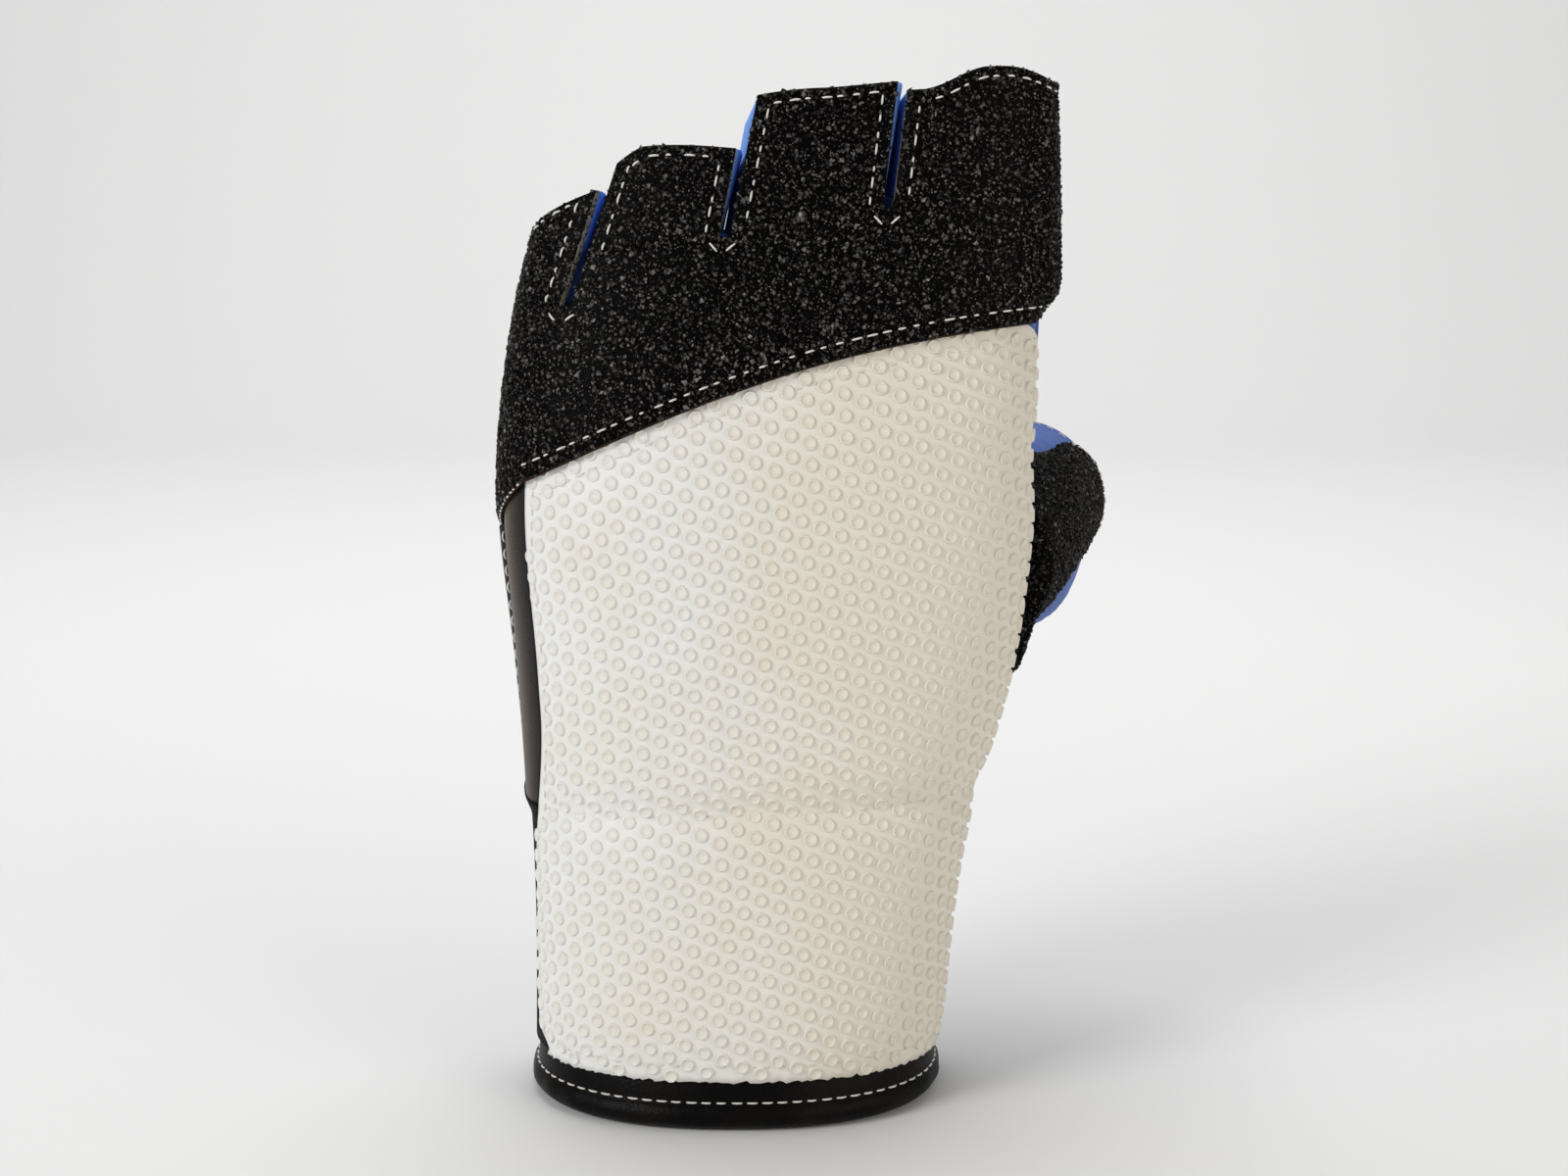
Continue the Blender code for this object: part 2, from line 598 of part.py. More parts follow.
def build_cuff(root):
    """Rolled binding with its core, the padded back, the palm side and the elastic insert."""
    depth = FOAM + 2 * CLEARANCE + 2 * LEATHER
    r = BINDING_CORNER
    q = BINDING_INNER_CORNER
    bevel = r - LEATHER
    quarter = [radians(a) for a in (0, 30, 60, 90)]
    outer = [(-r + (r + BINDING_BULGE) * cos(a), r - r * sin(a)) for a in quarter]
    inner = [(-depth + q - q * sin(a), q - q * cos(a)) for a in quarter]

    def hollow(gap):
        """Space inside the roll, or the core that fills it with a gap all round."""
        near = -LEATHER - gap
        far = LEATHER + gap - depth
        low = LEATHER + gap
        side = [(near, BINDING_HEIGHT), (near, low + bevel), (near - bevel, low)]
        return side + [(far, low), (far, BINDING_HEIGHT)]

    profile = [(0, BINDING_HEIGHT)] + hollow(0) + [(-depth, BINDING_HEIGHT)]
    profile += inner[::-1] + outer[::-1] + [(BINDING_BULGE, BINDING_SHOULDER)]
    ring("cuff_binding", profile, RING_STEPS, "black_leather", root)
    ring("binding_core", hollow(CLEARANCE)[::-1], RING_STEPS, "foam", root)

    foot = BINDING_HEIGHT + CLEARANCE
    top = shifted(seam_height, -JOINT_GAP / 2)
    back_panel("cuff", lambda phi: foot + 0 * phi, top, CUFF_ROWS, 0, 1, 0, root)
    right = PANEL_RIGHT_EDGE + gap_angle()
    stretch_end = FULL_TURN + SIDE_SEAM - ELASTIC_ANGLE
    columns = np.linspace(right, stretch_end - gap_angle(), PANEL_COLUMNS)
    palm = patch(columns, foot, top(columns), CUFF_ROWS)
    sheet("cuff_palm_leather", palm, LEATHER, "black_leather", root)
    v = np.linspace(0, 1, CUFF_ROWS)[:, None]
    u = np.linspace(0, 1, STRIP_COLUMNS)[None, :]
    z = foot + (top(SIDE_SEAM) - foot) * v + 0 * u
    start = stretch_end - FULL_TURN
    phi = start + (panel_left(z) - gap_angle() - start) * u
    sheet("elastic_insert", skin(phi, z), LEATHER, "elastic", root)


def build_back(hand):
    """White panel over the hand, grit-rubber knuckle panel and the leather that backs it."""
    foot = shifted(seam_height, JOINT_GAP / 2)
    back_panel("hand", foot, shifted(grit_edge, PANEL_TUCK), HAND_ROWS, 1, 0, 2 * PANEL_TUCK, hand)
    columns, top = hand_edge(False, STRIP_COLUMNS)
    outer = CLEARANCE + FINGER_GRIP
    grit = patch(columns, grit_edge(columns), top, PATCH_ROWS, outer)
    sheet("knuckle_grip_panel", grit, FINGER_GRIP, "grit_rubber", hand)
    backing_foot = grit_edge(columns) + PANEL_TUCK + SEAM_CLEARANCE
    backing = patch(columns, backing_foot, top, STALL_ROWS)
    sheet("knuckle_backing", backing, RUBBER, "black_leather", hand)
    under = RUBBER + CLEARANCE
    layers = [patch(columns, backing_foot + PAD_MARGIN, top - PAD_MARGIN, STALL_ROWS, -depth)
              for depth in (under, under + KNUCKLE_FOAM)]
    pad("knuckle_foam", layers[0], layers[1], "foam", hand)


def build_outer_side(hand):
    """Leather gusset between the white panel and the palm, with its raised seam."""
    v = np.linspace(0, 1, HAND_ROWS)[:, None]
    u = np.linspace(0, 1, STRIP_COLUMNS)[None, :]
    start = SIDE_SEAM + gap_angle()
    foot = seam_height(SIDE_SEAM) + JOINT_GAP / 2
    phi = start + (GRIT_EDGE_LEFT_ANGLE - start) * u + 0 * v
    for _ in range(EDGE_STEPS):
        z = foot + (grit_edge(phi) + PANEL_TUCK - foot) * v
        phi = start + (panel_left(z) - gap_angle() - start) * u
    sheet("outer_gusset", skin(phi, z), LEATHER, "black_leather", hand)
    half = gap_angle(WELT_WIDTH / 2)
    columns = np.linspace(SIDE_SEAM - half, SIDE_SEAM + half, 3)
    end = grit_edge(SIDE_SEAM) - CLEARANCE
    welt = patch(columns, foot, end, PATCH_ROWS, CLEARANCE + WELT_HEIGHT)
    sheet("outer_seam_welt", welt, WELT_HEIGHT, "black_leather", hand)


def thumb_frame():
    """Start of the thumb's axis, its direction and two directions across it (right and up)."""
    start = np.array([PALM_RIGHT - THUMB_INSET, -THUMB_DEPTH, PALM_HEIGHT - THUMB_DROP])
    along = np.array([sin(THUMB_OUT) * cos(THUMB_RISE), cos(THUMB_OUT) * cos(THUMB_RISE), sin(THUMB_RISE)])
    across = np.cross(along, [0, 0, 1])
    across /= np.linalg.norm(across)
    return start, along, across, np.cross(across, along)


def thumb_radius(s):
    """Stall radius along its axis: a parabola through its root, belly and mouth."""
    t = s / THUMB_LENGTH
    ends = THUMB_ROOT_RADIUS * (1 - t) * (1 - 2 * t) + THUMB_MOUTH_RADIUS * t * (2 * t - 1)
    return ends + THUMB_BELLY_RADIUS * 4 * t * (1 - t)


def thumb_point(theta, s, lift):
    """Point on the stall at angle theta round its axis (0 right, 90 degrees up)."""
    start, along, across, up = thumb_frame()
    radius = thumb_radius(s) + lift
    theta, s, radius = (np.asarray(a)[..., None] for a in np.broadcast_arrays(theta, s, radius))
    return start + along * s + radius * (across * np.cos(theta) + up * np.sin(theta))


def thumb_root(theta, lift, clear):
    """Distance along the axis where the stall is clear of the hand and the white panel, by halving."""
    low = np.zeros(np.shape(theta))
    high = np.full(np.shape(theta), THUMB_LENGTH)
    for _ in range(HALVINGS):
        middle = (low + high) / 2
        p = thumb_point(theta, middle, lift)
        mid, half, side, back, palm, power = section(p[..., 2])
        depth = np.where(p[..., 1] < side, back, palm) + clear
        inside = np.abs((p[..., 0] - mid) / (half + clear)) ** power
        inside = inside + np.abs((p[..., 1] - side) / depth) ** power < 1
        inside |= p[..., 1] < skin(PANEL_RIGHT_EDGE, p[..., 2])[..., 1] + SEAM_CLEARANCE
        low = np.where(inside, middle, low)
        high = np.where(inside, high, middle)
    return high


def thumb_underside(phi, z):
    """Height that keeps a patch on the hand's surface clear below the stall."""
    start, along, across, _ = thumb_frame()
    place = skin(phi, z) - start
    reach = thumb_radius(place @ along) + SEAM_CLEARANCE
    return start[2] - np.sqrt(np.maximum(reach ** 2 - (place @ across) ** 2, 0))


def build_palm(hand):
    """Palm leather with the thumb's hole, and the grit-rubber patches sewn on it."""
    columns, top = hand_edge(True, STALL_ROWS)
    foot = seam_height(columns) + JOINT_GAP / 2
    leather = patch(columns, foot, top, PALM_ROWS)
    palm = sheet("palm_leather", leather, LEATHER, "blue_leather", hand)
    sides = THUMB_SIDES
    theta = np.linspace(0, FULL_TURN, sides, endpoint=False)
    hole = [thumb_point(theta, s, -2 * LEATHER) for s in (0, THUMB_LENGTH)]
    faces = [(i, sides + i, sides + (i + 1) % sides, (i + 1) % sides) for i in range(sides)]
    faces += [tuple(range(sides)), tuple(range(2 * sides - 1, sides - 1, -1))]
    cutter = add_object("thumb_hole", np.stack(hole), faces, "blue_leather", hand)
    cutter.hide_render = True
    cutter.display_type = "WIRE"
    cut = palm.modifiers.new("thumb hole", "BOOLEAN")
    cut.object = cutter

    proud = CLEARANCE + RUBBER
    t = np.linspace(0, 1, PATCH_COLUMNS)
    columns = PALM_PATCH_RIGHT + (PALM_PATCH_LEFT - PALM_PATCH_RIGHT) * t
    foot = seam_height(columns) + PALM_PATCH_FOOT - PALM_PATCH_ROUND * np.sin(np.pi * t)
    grit = patch(columns, foot, KNUCKLE_HEIGHT - PALM_PATCH_TOP, PATCH_ROWS, proud)
    sheet("palm_grip_patch", grit, RUBBER, "grit_rubber", hand)
    t = np.linspace(0, 1, STRIP_COLUMNS)
    columns = PANEL_RIGHT_EDGE + gap_angle() + TAIL_ANGLE * t
    foot = PALM_HEIGHT - TAIL_FOOT - TAIL_SLOPE * t
    tail = patch(columns, foot, thumb_underside(columns, foot), STALL_ROWS, proud)
    sheet("thenar_grip_patch", tail, RUBBER, "grit_rubber", hand)


def build_thumb(thumb):
    """Leather stall set against the hand's side, with a grit-rubber patch on its outer side."""
    theta = np.linspace(0, FULL_TURN, THUMB_SIDES + 1)
    v = np.linspace(0, 1, THUMB_ROWS)[:, None]
    surfaces = []
    for lift in (0, -LEATHER):
        root = thumb_root(theta, lift, JOINT_GAP)
        surfaces.append(thumb_point(theta, root + (THUMB_LENGTH - root) * v, lift)[:, :-1])
    outer, inner = surfaces
    rows, cols = outer.shape[:2]
    faces = []
    for i in range(2 * rows):
        for j in range(cols):
            k = (j + 1) % cols
            n = (i + 1) % (2 * rows)
            faces.append((i * cols + k, i * cols + j, n * cols + j, n * cols + k))
    loop = np.concatenate([outer, inner[::-1]])
    add_object("thumb_stall", loop, faces, "blue_leather", thumb)
    u = np.linspace(-1, 1, PATCH_COLUMNS)
    angle = THUMB_PATCH_FACING + THUMB_PATCH_HALF_ANGLE * u
    lift = CLEARANCE + RUBBER
    root = thumb_root(angle, lift, JOINT_GAP + lift)
    end = THUMB_LENGTH - PAD_MARGIN - THUMB_PATCH_ROUND * u ** 4
    grit = thumb_point(angle, root + (end - root) * v, lift)[:, ::-1]
    sheet("thumb_grip_patch", grit, RUBBER, "grit_rubber", thumb)


def build_finger(finger, stall):
    """Grit-rubber back, leather palm side and two leather side walls of one stall."""
    name = finger.name
    lift = CLEARANCE + FINGER_GRIP
    back = finger.grid(False, STALL_ROWS, STALL_COLUMNS, lift)
    palm = finger.grid(True, STALL_ROWS, STALL_COLUMNS, 0)
    sheet(name + "_back_grip", back, FINGER_GRIP, "grit_rubber", stall)
    sheet(name + "_palm_leather", palm, LEATHER, "blue_leather", stall)
    for side in ("left", "right"):
        wall = name + "_" + side + "_wall"
        if getattr(finger, side):
            outer = finger.slit_wall(side, WALL_INSET, STALL_ROWS, STALL_ROWS)
            inner = finger.slit_wall(side, WALL_INSET + LEATHER, STALL_ROWS, STALL_ROWS)
            pad(wall, outer, inner, "blue_leather", stall)
        else:
            sheet(wall, finger.outer_wall(side, STALL_ROWS, STRIP_COLUMNS), LEATHER, "blue_leather", stall)


def finger_pivot(finger):
    """Knuckle axis square to the stall's lean, just outside the palm side of its root."""
    edge = skin(*finger.root_edge(True, STALL_COLUMNS))
    place = (edge[0] + edge[-1]) / 2
    place[1] = edge[:, 1].max() + JOINT_GAP
    return place, np.array([-cos(finger.lean), 0, sin(finger.lean)])


def wrist_pivot():
    """Fold line of the wrist seam, just outside the white panel."""
    phi = np.linspace(radians(-150), radians(-30), 25)
    depth = skin(phi, seam_height(phi), PANEL_CROWN)[:, 1].min()
    return np.array([0, depth, SEAM_HEIGHT]), np.array([cos(SEAM_TILT), 0, sin(SEAM_TILT)])


def thumb_pivot():
    """Upright axis at the outer edge of the thumb's root, where the stall folds outwards."""
    theta = np.linspace(radians(-60), radians(60), 25)
    edge = thumb_point(theta, thumb_root(theta, 0, JOINT_GAP), 0)
    outermost = edge[np.argmax(edge[:, 0])].copy()
    outermost[0] += 2 * CLEARANCE + RUBBER
    outermost[1] = edge[:, 1].min() - CLEARANCE
    return outermost, np.array([0, 0, -1])


def centre_on_origin(frame):
    """Moves the whole glove so that the middle of its box's bottom face is at the origin."""
    bpy.context.view_layer.update()
    graph = bpy.context.evaluated_depsgraph_get()
    corners = []
    for item in bpy.data.objects:
        if item.type == "MESH" and not item.hide_render:
            solid = item.evaluated_get(graph)
            points = np.array([item.matrix_world @ vertex.co for vertex in solid.data.vertices])
            corners += [points.min(axis=0), points.max(axis=0)]
    low = np.min(corners, axis=0)
    high = np.max(corners, axis=0)
    frame.location = (-(low[0] + high[0]) / 2, -(low[1] + high[1]) / 2, -low[2])


def main():
    clear_scene()
    frame = carrier("glove", None, (0, 0, 0))
    build_cuff(frame)
    hand = carrier("wrist_fold", frame, wrist_pivot()[0])
    build_back(hand)
    build_outer_side(hand)
    build_palm(hand)
    thumb = carrier("thumb_fold", frame, thumb_pivot()[0])
    build_thumb(thumb)
    for finger in FINGERS:
        stall = carrier(finger.name + "_fold", frame, finger_pivot(finger)[0])
        build_finger(finger, stall)
    centre_on_origin(frame)


main()
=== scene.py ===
"""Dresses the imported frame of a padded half-finger target glove for the left hand.

Metres, +Z up. The glove stands on its cuff, the back of the hand faces -Y and the thumb side is +X.
Every surface is worked out on one loft of rounded sections: a place on it is an angle round the
section (-180 degrees little-finger side, -90 back of the hand, 0 thumb side, 90 palm) and a height.
"""

import json
from math import atan, cos, pi, radians, sin, tan

import bpy
import numpy as np
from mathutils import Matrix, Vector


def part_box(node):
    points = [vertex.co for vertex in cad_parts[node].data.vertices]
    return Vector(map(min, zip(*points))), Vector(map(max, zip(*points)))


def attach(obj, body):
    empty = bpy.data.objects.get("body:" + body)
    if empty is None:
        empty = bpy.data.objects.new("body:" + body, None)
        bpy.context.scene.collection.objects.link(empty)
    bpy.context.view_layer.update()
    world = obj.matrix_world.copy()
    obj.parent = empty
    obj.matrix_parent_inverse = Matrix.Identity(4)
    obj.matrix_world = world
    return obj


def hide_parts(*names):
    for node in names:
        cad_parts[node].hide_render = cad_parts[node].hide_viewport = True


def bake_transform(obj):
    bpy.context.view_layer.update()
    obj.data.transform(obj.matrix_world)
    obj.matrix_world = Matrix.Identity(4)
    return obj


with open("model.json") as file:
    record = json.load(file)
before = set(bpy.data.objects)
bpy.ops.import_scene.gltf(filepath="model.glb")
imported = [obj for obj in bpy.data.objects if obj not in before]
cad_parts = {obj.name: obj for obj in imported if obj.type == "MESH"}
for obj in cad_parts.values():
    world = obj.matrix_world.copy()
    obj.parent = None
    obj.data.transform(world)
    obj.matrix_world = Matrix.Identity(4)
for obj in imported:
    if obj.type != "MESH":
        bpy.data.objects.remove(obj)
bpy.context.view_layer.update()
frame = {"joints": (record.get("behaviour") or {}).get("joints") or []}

bl_info = {
    "name": "Padded target glove",
    "version": (1, 0, 0),
    "blender": (4, 5, 0),
    "location": "3D View > Sidebar > Glove",
    "description": "Dresses the glove's frame with pimple rubber, crumb rubber, leather, padding and thread",
    "category": "Object",
}

FINGER_NAMES = ("little", "ring", "middle", "index")
WRIST, HEEL, PALM, KNUCKLE, TIP = range(1, 6)  # the loft's sections above the hem
BACK, INNER = False, True  # the side of a stall: back of the hand or palm
FULL_TURN = 2 * pi
MM = 0.001
TINY = 1e-12  # keeps a division by a length of nothing from failing
SETTLING_ROUNDS = 5  # rounds in which a row's heights and angles settle on each other
HALVINGS = 40  # halvings that find the thumb's root
STITCH_SEED = 1
WELT_TAPER = 0.6  # power of the welt's taper
EDGE_LINE = 3.4 * MM  # distance of the stitches above and below the knuckle panel's lower edge
THUMB_CLEAR = 0.2 * MM  # how far the thumb's root stays clear of the hand
THUMB_HEM = 3 * MM  # distance of the mouth's stitches and of the patch from the thumb's mouth
CRUMB_SINK = 0.2 * MM  # how far a crumb-rubber sheet lies under the tops of its crumbs
CRUMB_GAP = 0.3 * MM  # how much thinner that sheet is than the whole panel
CRUMB_STITCH = {"lift": 1.0, "least": 0.35}  # stitches that the crumbs partly hide


def length(name, description, default):
    return bpy.props.FloatProperty(name=name, description=description, default=default,
                                   unit="LENGTH", precision=5)


def lengths(name, description, default):
    return bpy.props.FloatVectorProperty(name=name, description=description, default=default,
                                         size=len(default), unit="LENGTH", precision=5)


def turn(name, description, degrees):
    return bpy.props.FloatProperty(name=name, description=description, default=radians(degrees),
                                   subtype="ANGLE")


def turns(name, description, degrees):
    return bpy.props.FloatVectorProperty(name=name, description=description, size=len(degrees),
                                         default=[radians(d) for d in degrees], subtype="EULER")


def plain(name, description, default):
    return bpy.props.FloatProperty(name=name, description=description, default=default, subtype="FACTOR")


def colour(name, description, default):
    return bpy.props.StringProperty(name=name, description=description, default=default)


class GloveLoft(bpy.types.PropertyGroup):
    """Sections of the glove's loft: hem, wrist, heel, palm, knuckle and fingertip."""

    heights: lengths("Heights", "Height of each section", (0.0, 0.055, 0.090, 0.124, 0.164, 0.208))
    left: lengths("Little-finger side", "Reach of each section to the little-finger side",
                  (0.0418, 0.0420, 0.0437, 0.0457, 0.0410, 0.0275))
    right: lengths("Thumb side", "Reach of each section to the thumb side",
                   (0.0414, 0.0472, 0.0562, 0.0602, 0.0629, 0.0622))
    back: lengths("Back", "Reach of each section to the back of the hand",
                  (0.0330, 0.0272, 0.0272, 0.0260, 0.0215, 0.0165))
    palm: lengths("Palm", "Reach of each section to the palm",
                  (0.0270, 0.0250, 0.0265, 0.0260, 0.0170, 0.0105))
    curl: lengths("Curl", "Shift of each section towards the palm", (0.0, 0.0, 0.0, 0.0, 0.0010, 0.0060))
    hem_square: plain("Hem squareness", "Power of the rounded section at the hem", 2.3)
    tip_square: plain("Tip squareness", "Power of the rounded section at the fingertips", 2.9)


class GlovePanels(bpy.types.PropertyGroup):
    """Panels of the hand and the cuff, and the thickness of their layers."""

    rubber: length("Rubber", "Thickness of the pimple rubber and of the grip patches", 0.0018)
    leather: length("Leather", "Thickness of the leather", 0.0012)
    foam: length("Foam", "Thickness of the foam padding", 0.0050)
    grit: length("Crumb rubber", "Thickness of the crumb-rubber panels", 0.0021)
    clearance: length("Clearance", "Gap between layers that touch", 0.0003)
    binding_height: length("Binding height", "Height of the rolled cuff binding", 0.0112)
    binding_depth: length("Binding depth", "Depth of the roll from its outside to its inside", 0.0080)
    binding_bulge: length("Binding bulge", "How far the roll stands proud below its stitches", 0.0009)
    binding_corner: length("Binding corner", "Radius of the roll's lower outer edge", 0.0042)
    binding_inner: length("Binding inner corner", "Radius of the roll's lower inner edge", 0.0016)
    binding_seam: length("Binding stitches", "Height of the stitches round the binding", 0.0059)
    seam_height: length("Wrist seam", "Height of the quilted wrist seam at the middle", 0.0632)
    seam_tilt: turn("Wrist seam tilt", "Tilt of the wrist seam towards the thumb", 2.3)
    seam_dip: length("Wrist seam depth", "How deep the wrist seam pulls the pad in", 0.0005)
    seam_width: length("Wrist seam width", "Half width of the quilted channel", 0.0100)
    crown: length("Crown", "Height of the padded back's crown", 0.0016)
    edge: length("Edge width", "Width over which the padded back falls to its edge", 0.0140)
    inset_cuff: length("Cuff inset", "Gap from the white panel to the outer side at the cuff", 0.0013)
    inset_hand: length("Hand inset", "Gap from the white panel to the outer side at the hand", 0.0046)
    waist: length("Waist", "How far the thumb side is drawn in under the crumb rubber", 0.0018)
    round_off: turn("Round-off", "Angle by which the white panel's upper corner is rounded off", 50)
    corner_cut: length("Corner cut", "Height of the crumb rubber's cut corner on the thumb side", 0.0045)
    corner: length("Corner", "Rounding of the white panel's lower outer corner", 0.0026)
    right_edge: turn("Thumb-side edge", "Angle of the white panel's edge on the thumb side", -6)
    overlap: length("Overlap", "How far the white panel hangs over the binding", 0.0011)
    tuck: length("Tuck", "How far the white panel goes under the crumb rubber", 0.0050)
    grit_drops: lengths("Crumb-rubber edge", "Drop of the lower edge below the knuckles: left, middle, right",
                        (0.0361, 0.0142, 0.0051))
    grit_left: turn("Crumb-rubber corner", "Angle where the lower edge turns down the outer side", -150)
    grit_side_drop: length("Crumb-rubber tail", "Further drop of the lower edge on the outer side", 0.0125)
    side_seam: turn("Outer seam", "Angle of the seam on the little-finger side", -184)
    elastic_angle: turn("Elastic", "Angle that the elastic insert takes on the palm side", 34)
    welt: length("Welt", "Height of the raised outer seam", 0.0021)
    palm_patch: turns("Palm patch", "Thumb-side and outer angle of the palm's grip patch", (78, 150))
    palm_patch_foot: length("Palm patch foot", "Height of the palm patch above the wrist seam", 0.030)
    palm_patch_top: length("Palm patch top", "Drop of the palm patch below the knuckles", 0.018)
    palm_patch_round: length("Palm patch round", "Depth of the palm patch's rounded foot", 0.014)
    tail_angle: turn("Tail", "Angle that the tail of the thumb's heel takes", 24)
    tail_foot: length("Tail foot", "Drop of the tail's foot below the palm section", 0.0375)
    tail_slope: length("Tail slope", "Fall of the tail's foot towards the palm", 0.007)
    tail_swell: length("Tail swell", "How much thicker the tail is where it meets the thumb", 0.0020)


class GloveStalls(bpy.types.PropertyGroup):
    """Finger stalls from the little finger to the index, and the thumb stall."""

    slit_x: lengths("Slit places", "X of each slit's foot", (-0.0315, -0.0014, 0.0298))
    slit_lean: turns("Slit leans", "Lean of each slit towards the thumb", (17.8, 11.4, 7.2))
    slit_width: length("Slit width", "Width of a slit on the back", 0.0020)
    palm_slit: length("Palm slit width", "Width of a slit on the palm side", 0.0001)
    palm_shift: lengths("Palm slit places", "How far each slit lies aside on the palm side",
                        (0.0005, -0.0009, -0.0012))
    root_left: lengths("Left roots", "Left end of each stall's root above the knuckles",
                       (0.0018, 0.0085, 0.0145, 0.0190))
    root_right: lengths("Right roots", "Right end of each stall's root above the knuckles",
                        (-0.0016, 0.0120, 0.0171, 0.0190))
    top_left: lengths("Left tops", "Left end of each stall's top above the knuckles",
                      (0.0123, 0.0283, 0.0387, 0.0397))
    top_right: lengths("Right tops", "Right end of each stall's top above the knuckles",
                       (0.0206, 0.0286, 0.0413, 0.0412))
    bulge: lengths("Top bulges", "Bulge of each stall's top edge", (0.0001, 0.0008, 0.0003, 0.0040))
    corner_cut: lengths("Cut corners", "Height of the cut at each stall's upper left corner",
                        (0.0, 0.0026, 0.0, 0.0))
    palm_drop: length("Palm side", "How much shorter a stall is on the palm side", 0.0055)
    outer_wall: turn("Outer wall", "Angle of the curved outer walls past the sides", 20)
    little_edge: turn("Little edge", "Angle from the outer seam to the little finger's back", 6)
    wall_front: lengths("Wall fronts", "Height of a left and a right wall's front edge over the loft",
                        (0.0013, 0.0018))
    wall_swell: lengths("Wall swell", "How far a left and a right wall swell into a slit", (-0.0002, 0.0016))
    wall_inset: length("Wall inset", "How far a slit's wall stands in from the edge of the back", 0.0004)
    thumb_inset: length("Thumb inset", "Start of the thumb's axis in from the thumb side", 0.0172)
    thumb_depth: length("Thumb depth", "Start of the thumb's axis towards the back", 0.006)
    thumb_drop: length("Thumb drop", "Start of the thumb's axis below the palm section", 0.0152)
    thumb_out: turn("Thumb spread", "Turn of the thumb's axis to the outside", 18.4)
    thumb_rise: turn("Thumb rise", "Rise of the thumb's axis", 6)
    thumb_length: length("Thumb length", "Length of the thumb's axis", 0.067)
    thumb_radii: lengths("Thumb radii", "Radius at the root, the belly and the mouth",
                         (0.0170, 0.0194, 0.0165))
    thumb_patch: turns("Thumb patch", "Middle and half width of the patch round the thumb", (4, 47))
    thumb_puff: turn("Thumb puff", "Direction round the thumb in which its leather puffs out", -52)
    thumb_patch_low: turns("Thumb patch below", "Half angle of the patch below, at its mouth and root",
                           (14, 44))
    thumb_patch_flare: plain("Thumb patch flare", "How much wider the patch is at the thumb's root", 0.3)
    thumb_patch_round: length("Thumb patch round", "Depth of the patch's rounded end", 0.014)


class GloveDetail(bpy.types.PropertyGroup):
    """Pimples, crumbs and sewing thread."""

    pitch: length("Pimple pitch", "Distance from pimple to pimple", 0.0041)
    pimple: length("Pimple radius", "Outer radius of a pimple", 0.00140)
    height: length("Pimple height", "Height of a pimple's rim", 0.00055)
    lattice: turn("Pimple rows", "Turn of the rows of pimples", -21)
    crumb: length("Crumb", "Mean radius of a rubber crumb", 0.00036)
    spacing: length("Crumb spacing", "Mean distance between crumbs", 0.00064)
    thread: length("Thread", "Radius of the sewing thread", 0.00021)
    stitch: length("Stitch", "Length of a stitch that shows", 0.0021)
    stitch_pitch: length("Stitch pitch", "Distance from stitch to stitch", 0.0030)
    margin: length("Seam margin", "Distance of a stitch line from the edge", 0.0019)
    slit_margin: length("Slit margin", "Distance of a stitch line from the edge of a slit", 0.0026)


class GloveColours(bpy.types.PropertyGroup):
    """Colours as sRGB hex values."""

    cream: colour("White rubber", "Pimple rubber on the little-finger side", "#EAEAE7")
    # Darker, warmer cream that the pimple rubber takes towards the thumb side: painted shade with a warm
    # cast.
    cream_warm_shade: colour("Cream rubber", "Pimple rubber where it has yellowed, on the thumb side", "#E4DED0")
    roll: colour("Binding black", "Drummed leather of the rolled binding", "#030202")
    # Crumb colours: the black of the rubber, and a paler colour at the crumbs' tinted corners, partly grey
    # granules and partly painted facet highlights.
    crumb_dark: colour("Dark crumb", "Crumb rubber in the hollows", "#050404")
    crumb_pale_and_highlight: colour("Light crumb", "Cut faces of the brightest crumbs", "#A8A49E")
    blue: colour("Blue leather", "Palm, stalls and thumb", "#4061AB")
    blue_deep: colour("Deep blue leather", "Blue leather in its creases", "#33508F")
    # Brighter blue on the slits' walls: partly a brighter leather, partly painted light that lifts the shade
    # inside the slits.
    blue_slit: colour("Slit leather", "Brighter blue leather inside the slits", "#79A8F2")
    black: colour("Black leather", "Binding, gusset and palm side of the cuff", "#080605")
    # Paler black: a painted sheen down the gusset's middle, and faint random clouds on the black leathers.
    black_worn: colour("Worn black leather", "Black leather where it is rubbed", "#6B5A4A")
    edge: colour("Cut edge", "Raw cut edge of the panels", "#A49A8C")
    edge_dyed: colour("Dyed cut edge", "Cut edge of the knuckle panel", "#3A281C")
    thread: colour("Thread", "Sewing thread", "#ECEAE4")
    elastic: colour("Elastic", "Elastic insert", "#1B1A1C")
    lining: colour("Lining", "Brushed lining", "#3A3A3E")
    paper: colour("Backdrop", "Floor and backdrop", "#E6E6E6")


def unit(vectors):
    """Vectors divided by their lengths."""
    return vectors / np.maximum(np.linalg.norm(vectors, axis=-1, keepdims=True), TINY)


def smooth_step(t):
    """Smooth step from 0 to 1: three squares less two cubes of t, held between 0 and 1."""
    t = np.clip(t, 0, 1)
    return t * t * (3 - 2 * t)


def spans(rows, cols):
    """Shares from 0 to 1 up the rows of a grid, and along its columns."""
    return np.linspace(0, 1, rows)[:, None], np.linspace(0, 1, cols)[None, :]


def loft_sizes():
    return bpy.context.scene.glove_loft


def panels():
    return bpy.context.scene.glove_panels


def stalls():
    return bpy.context.scene.glove_stalls


def detail():
    return bpy.context.scene.glove_detail


def colours():
    return bpy.context.scene.glove_colours


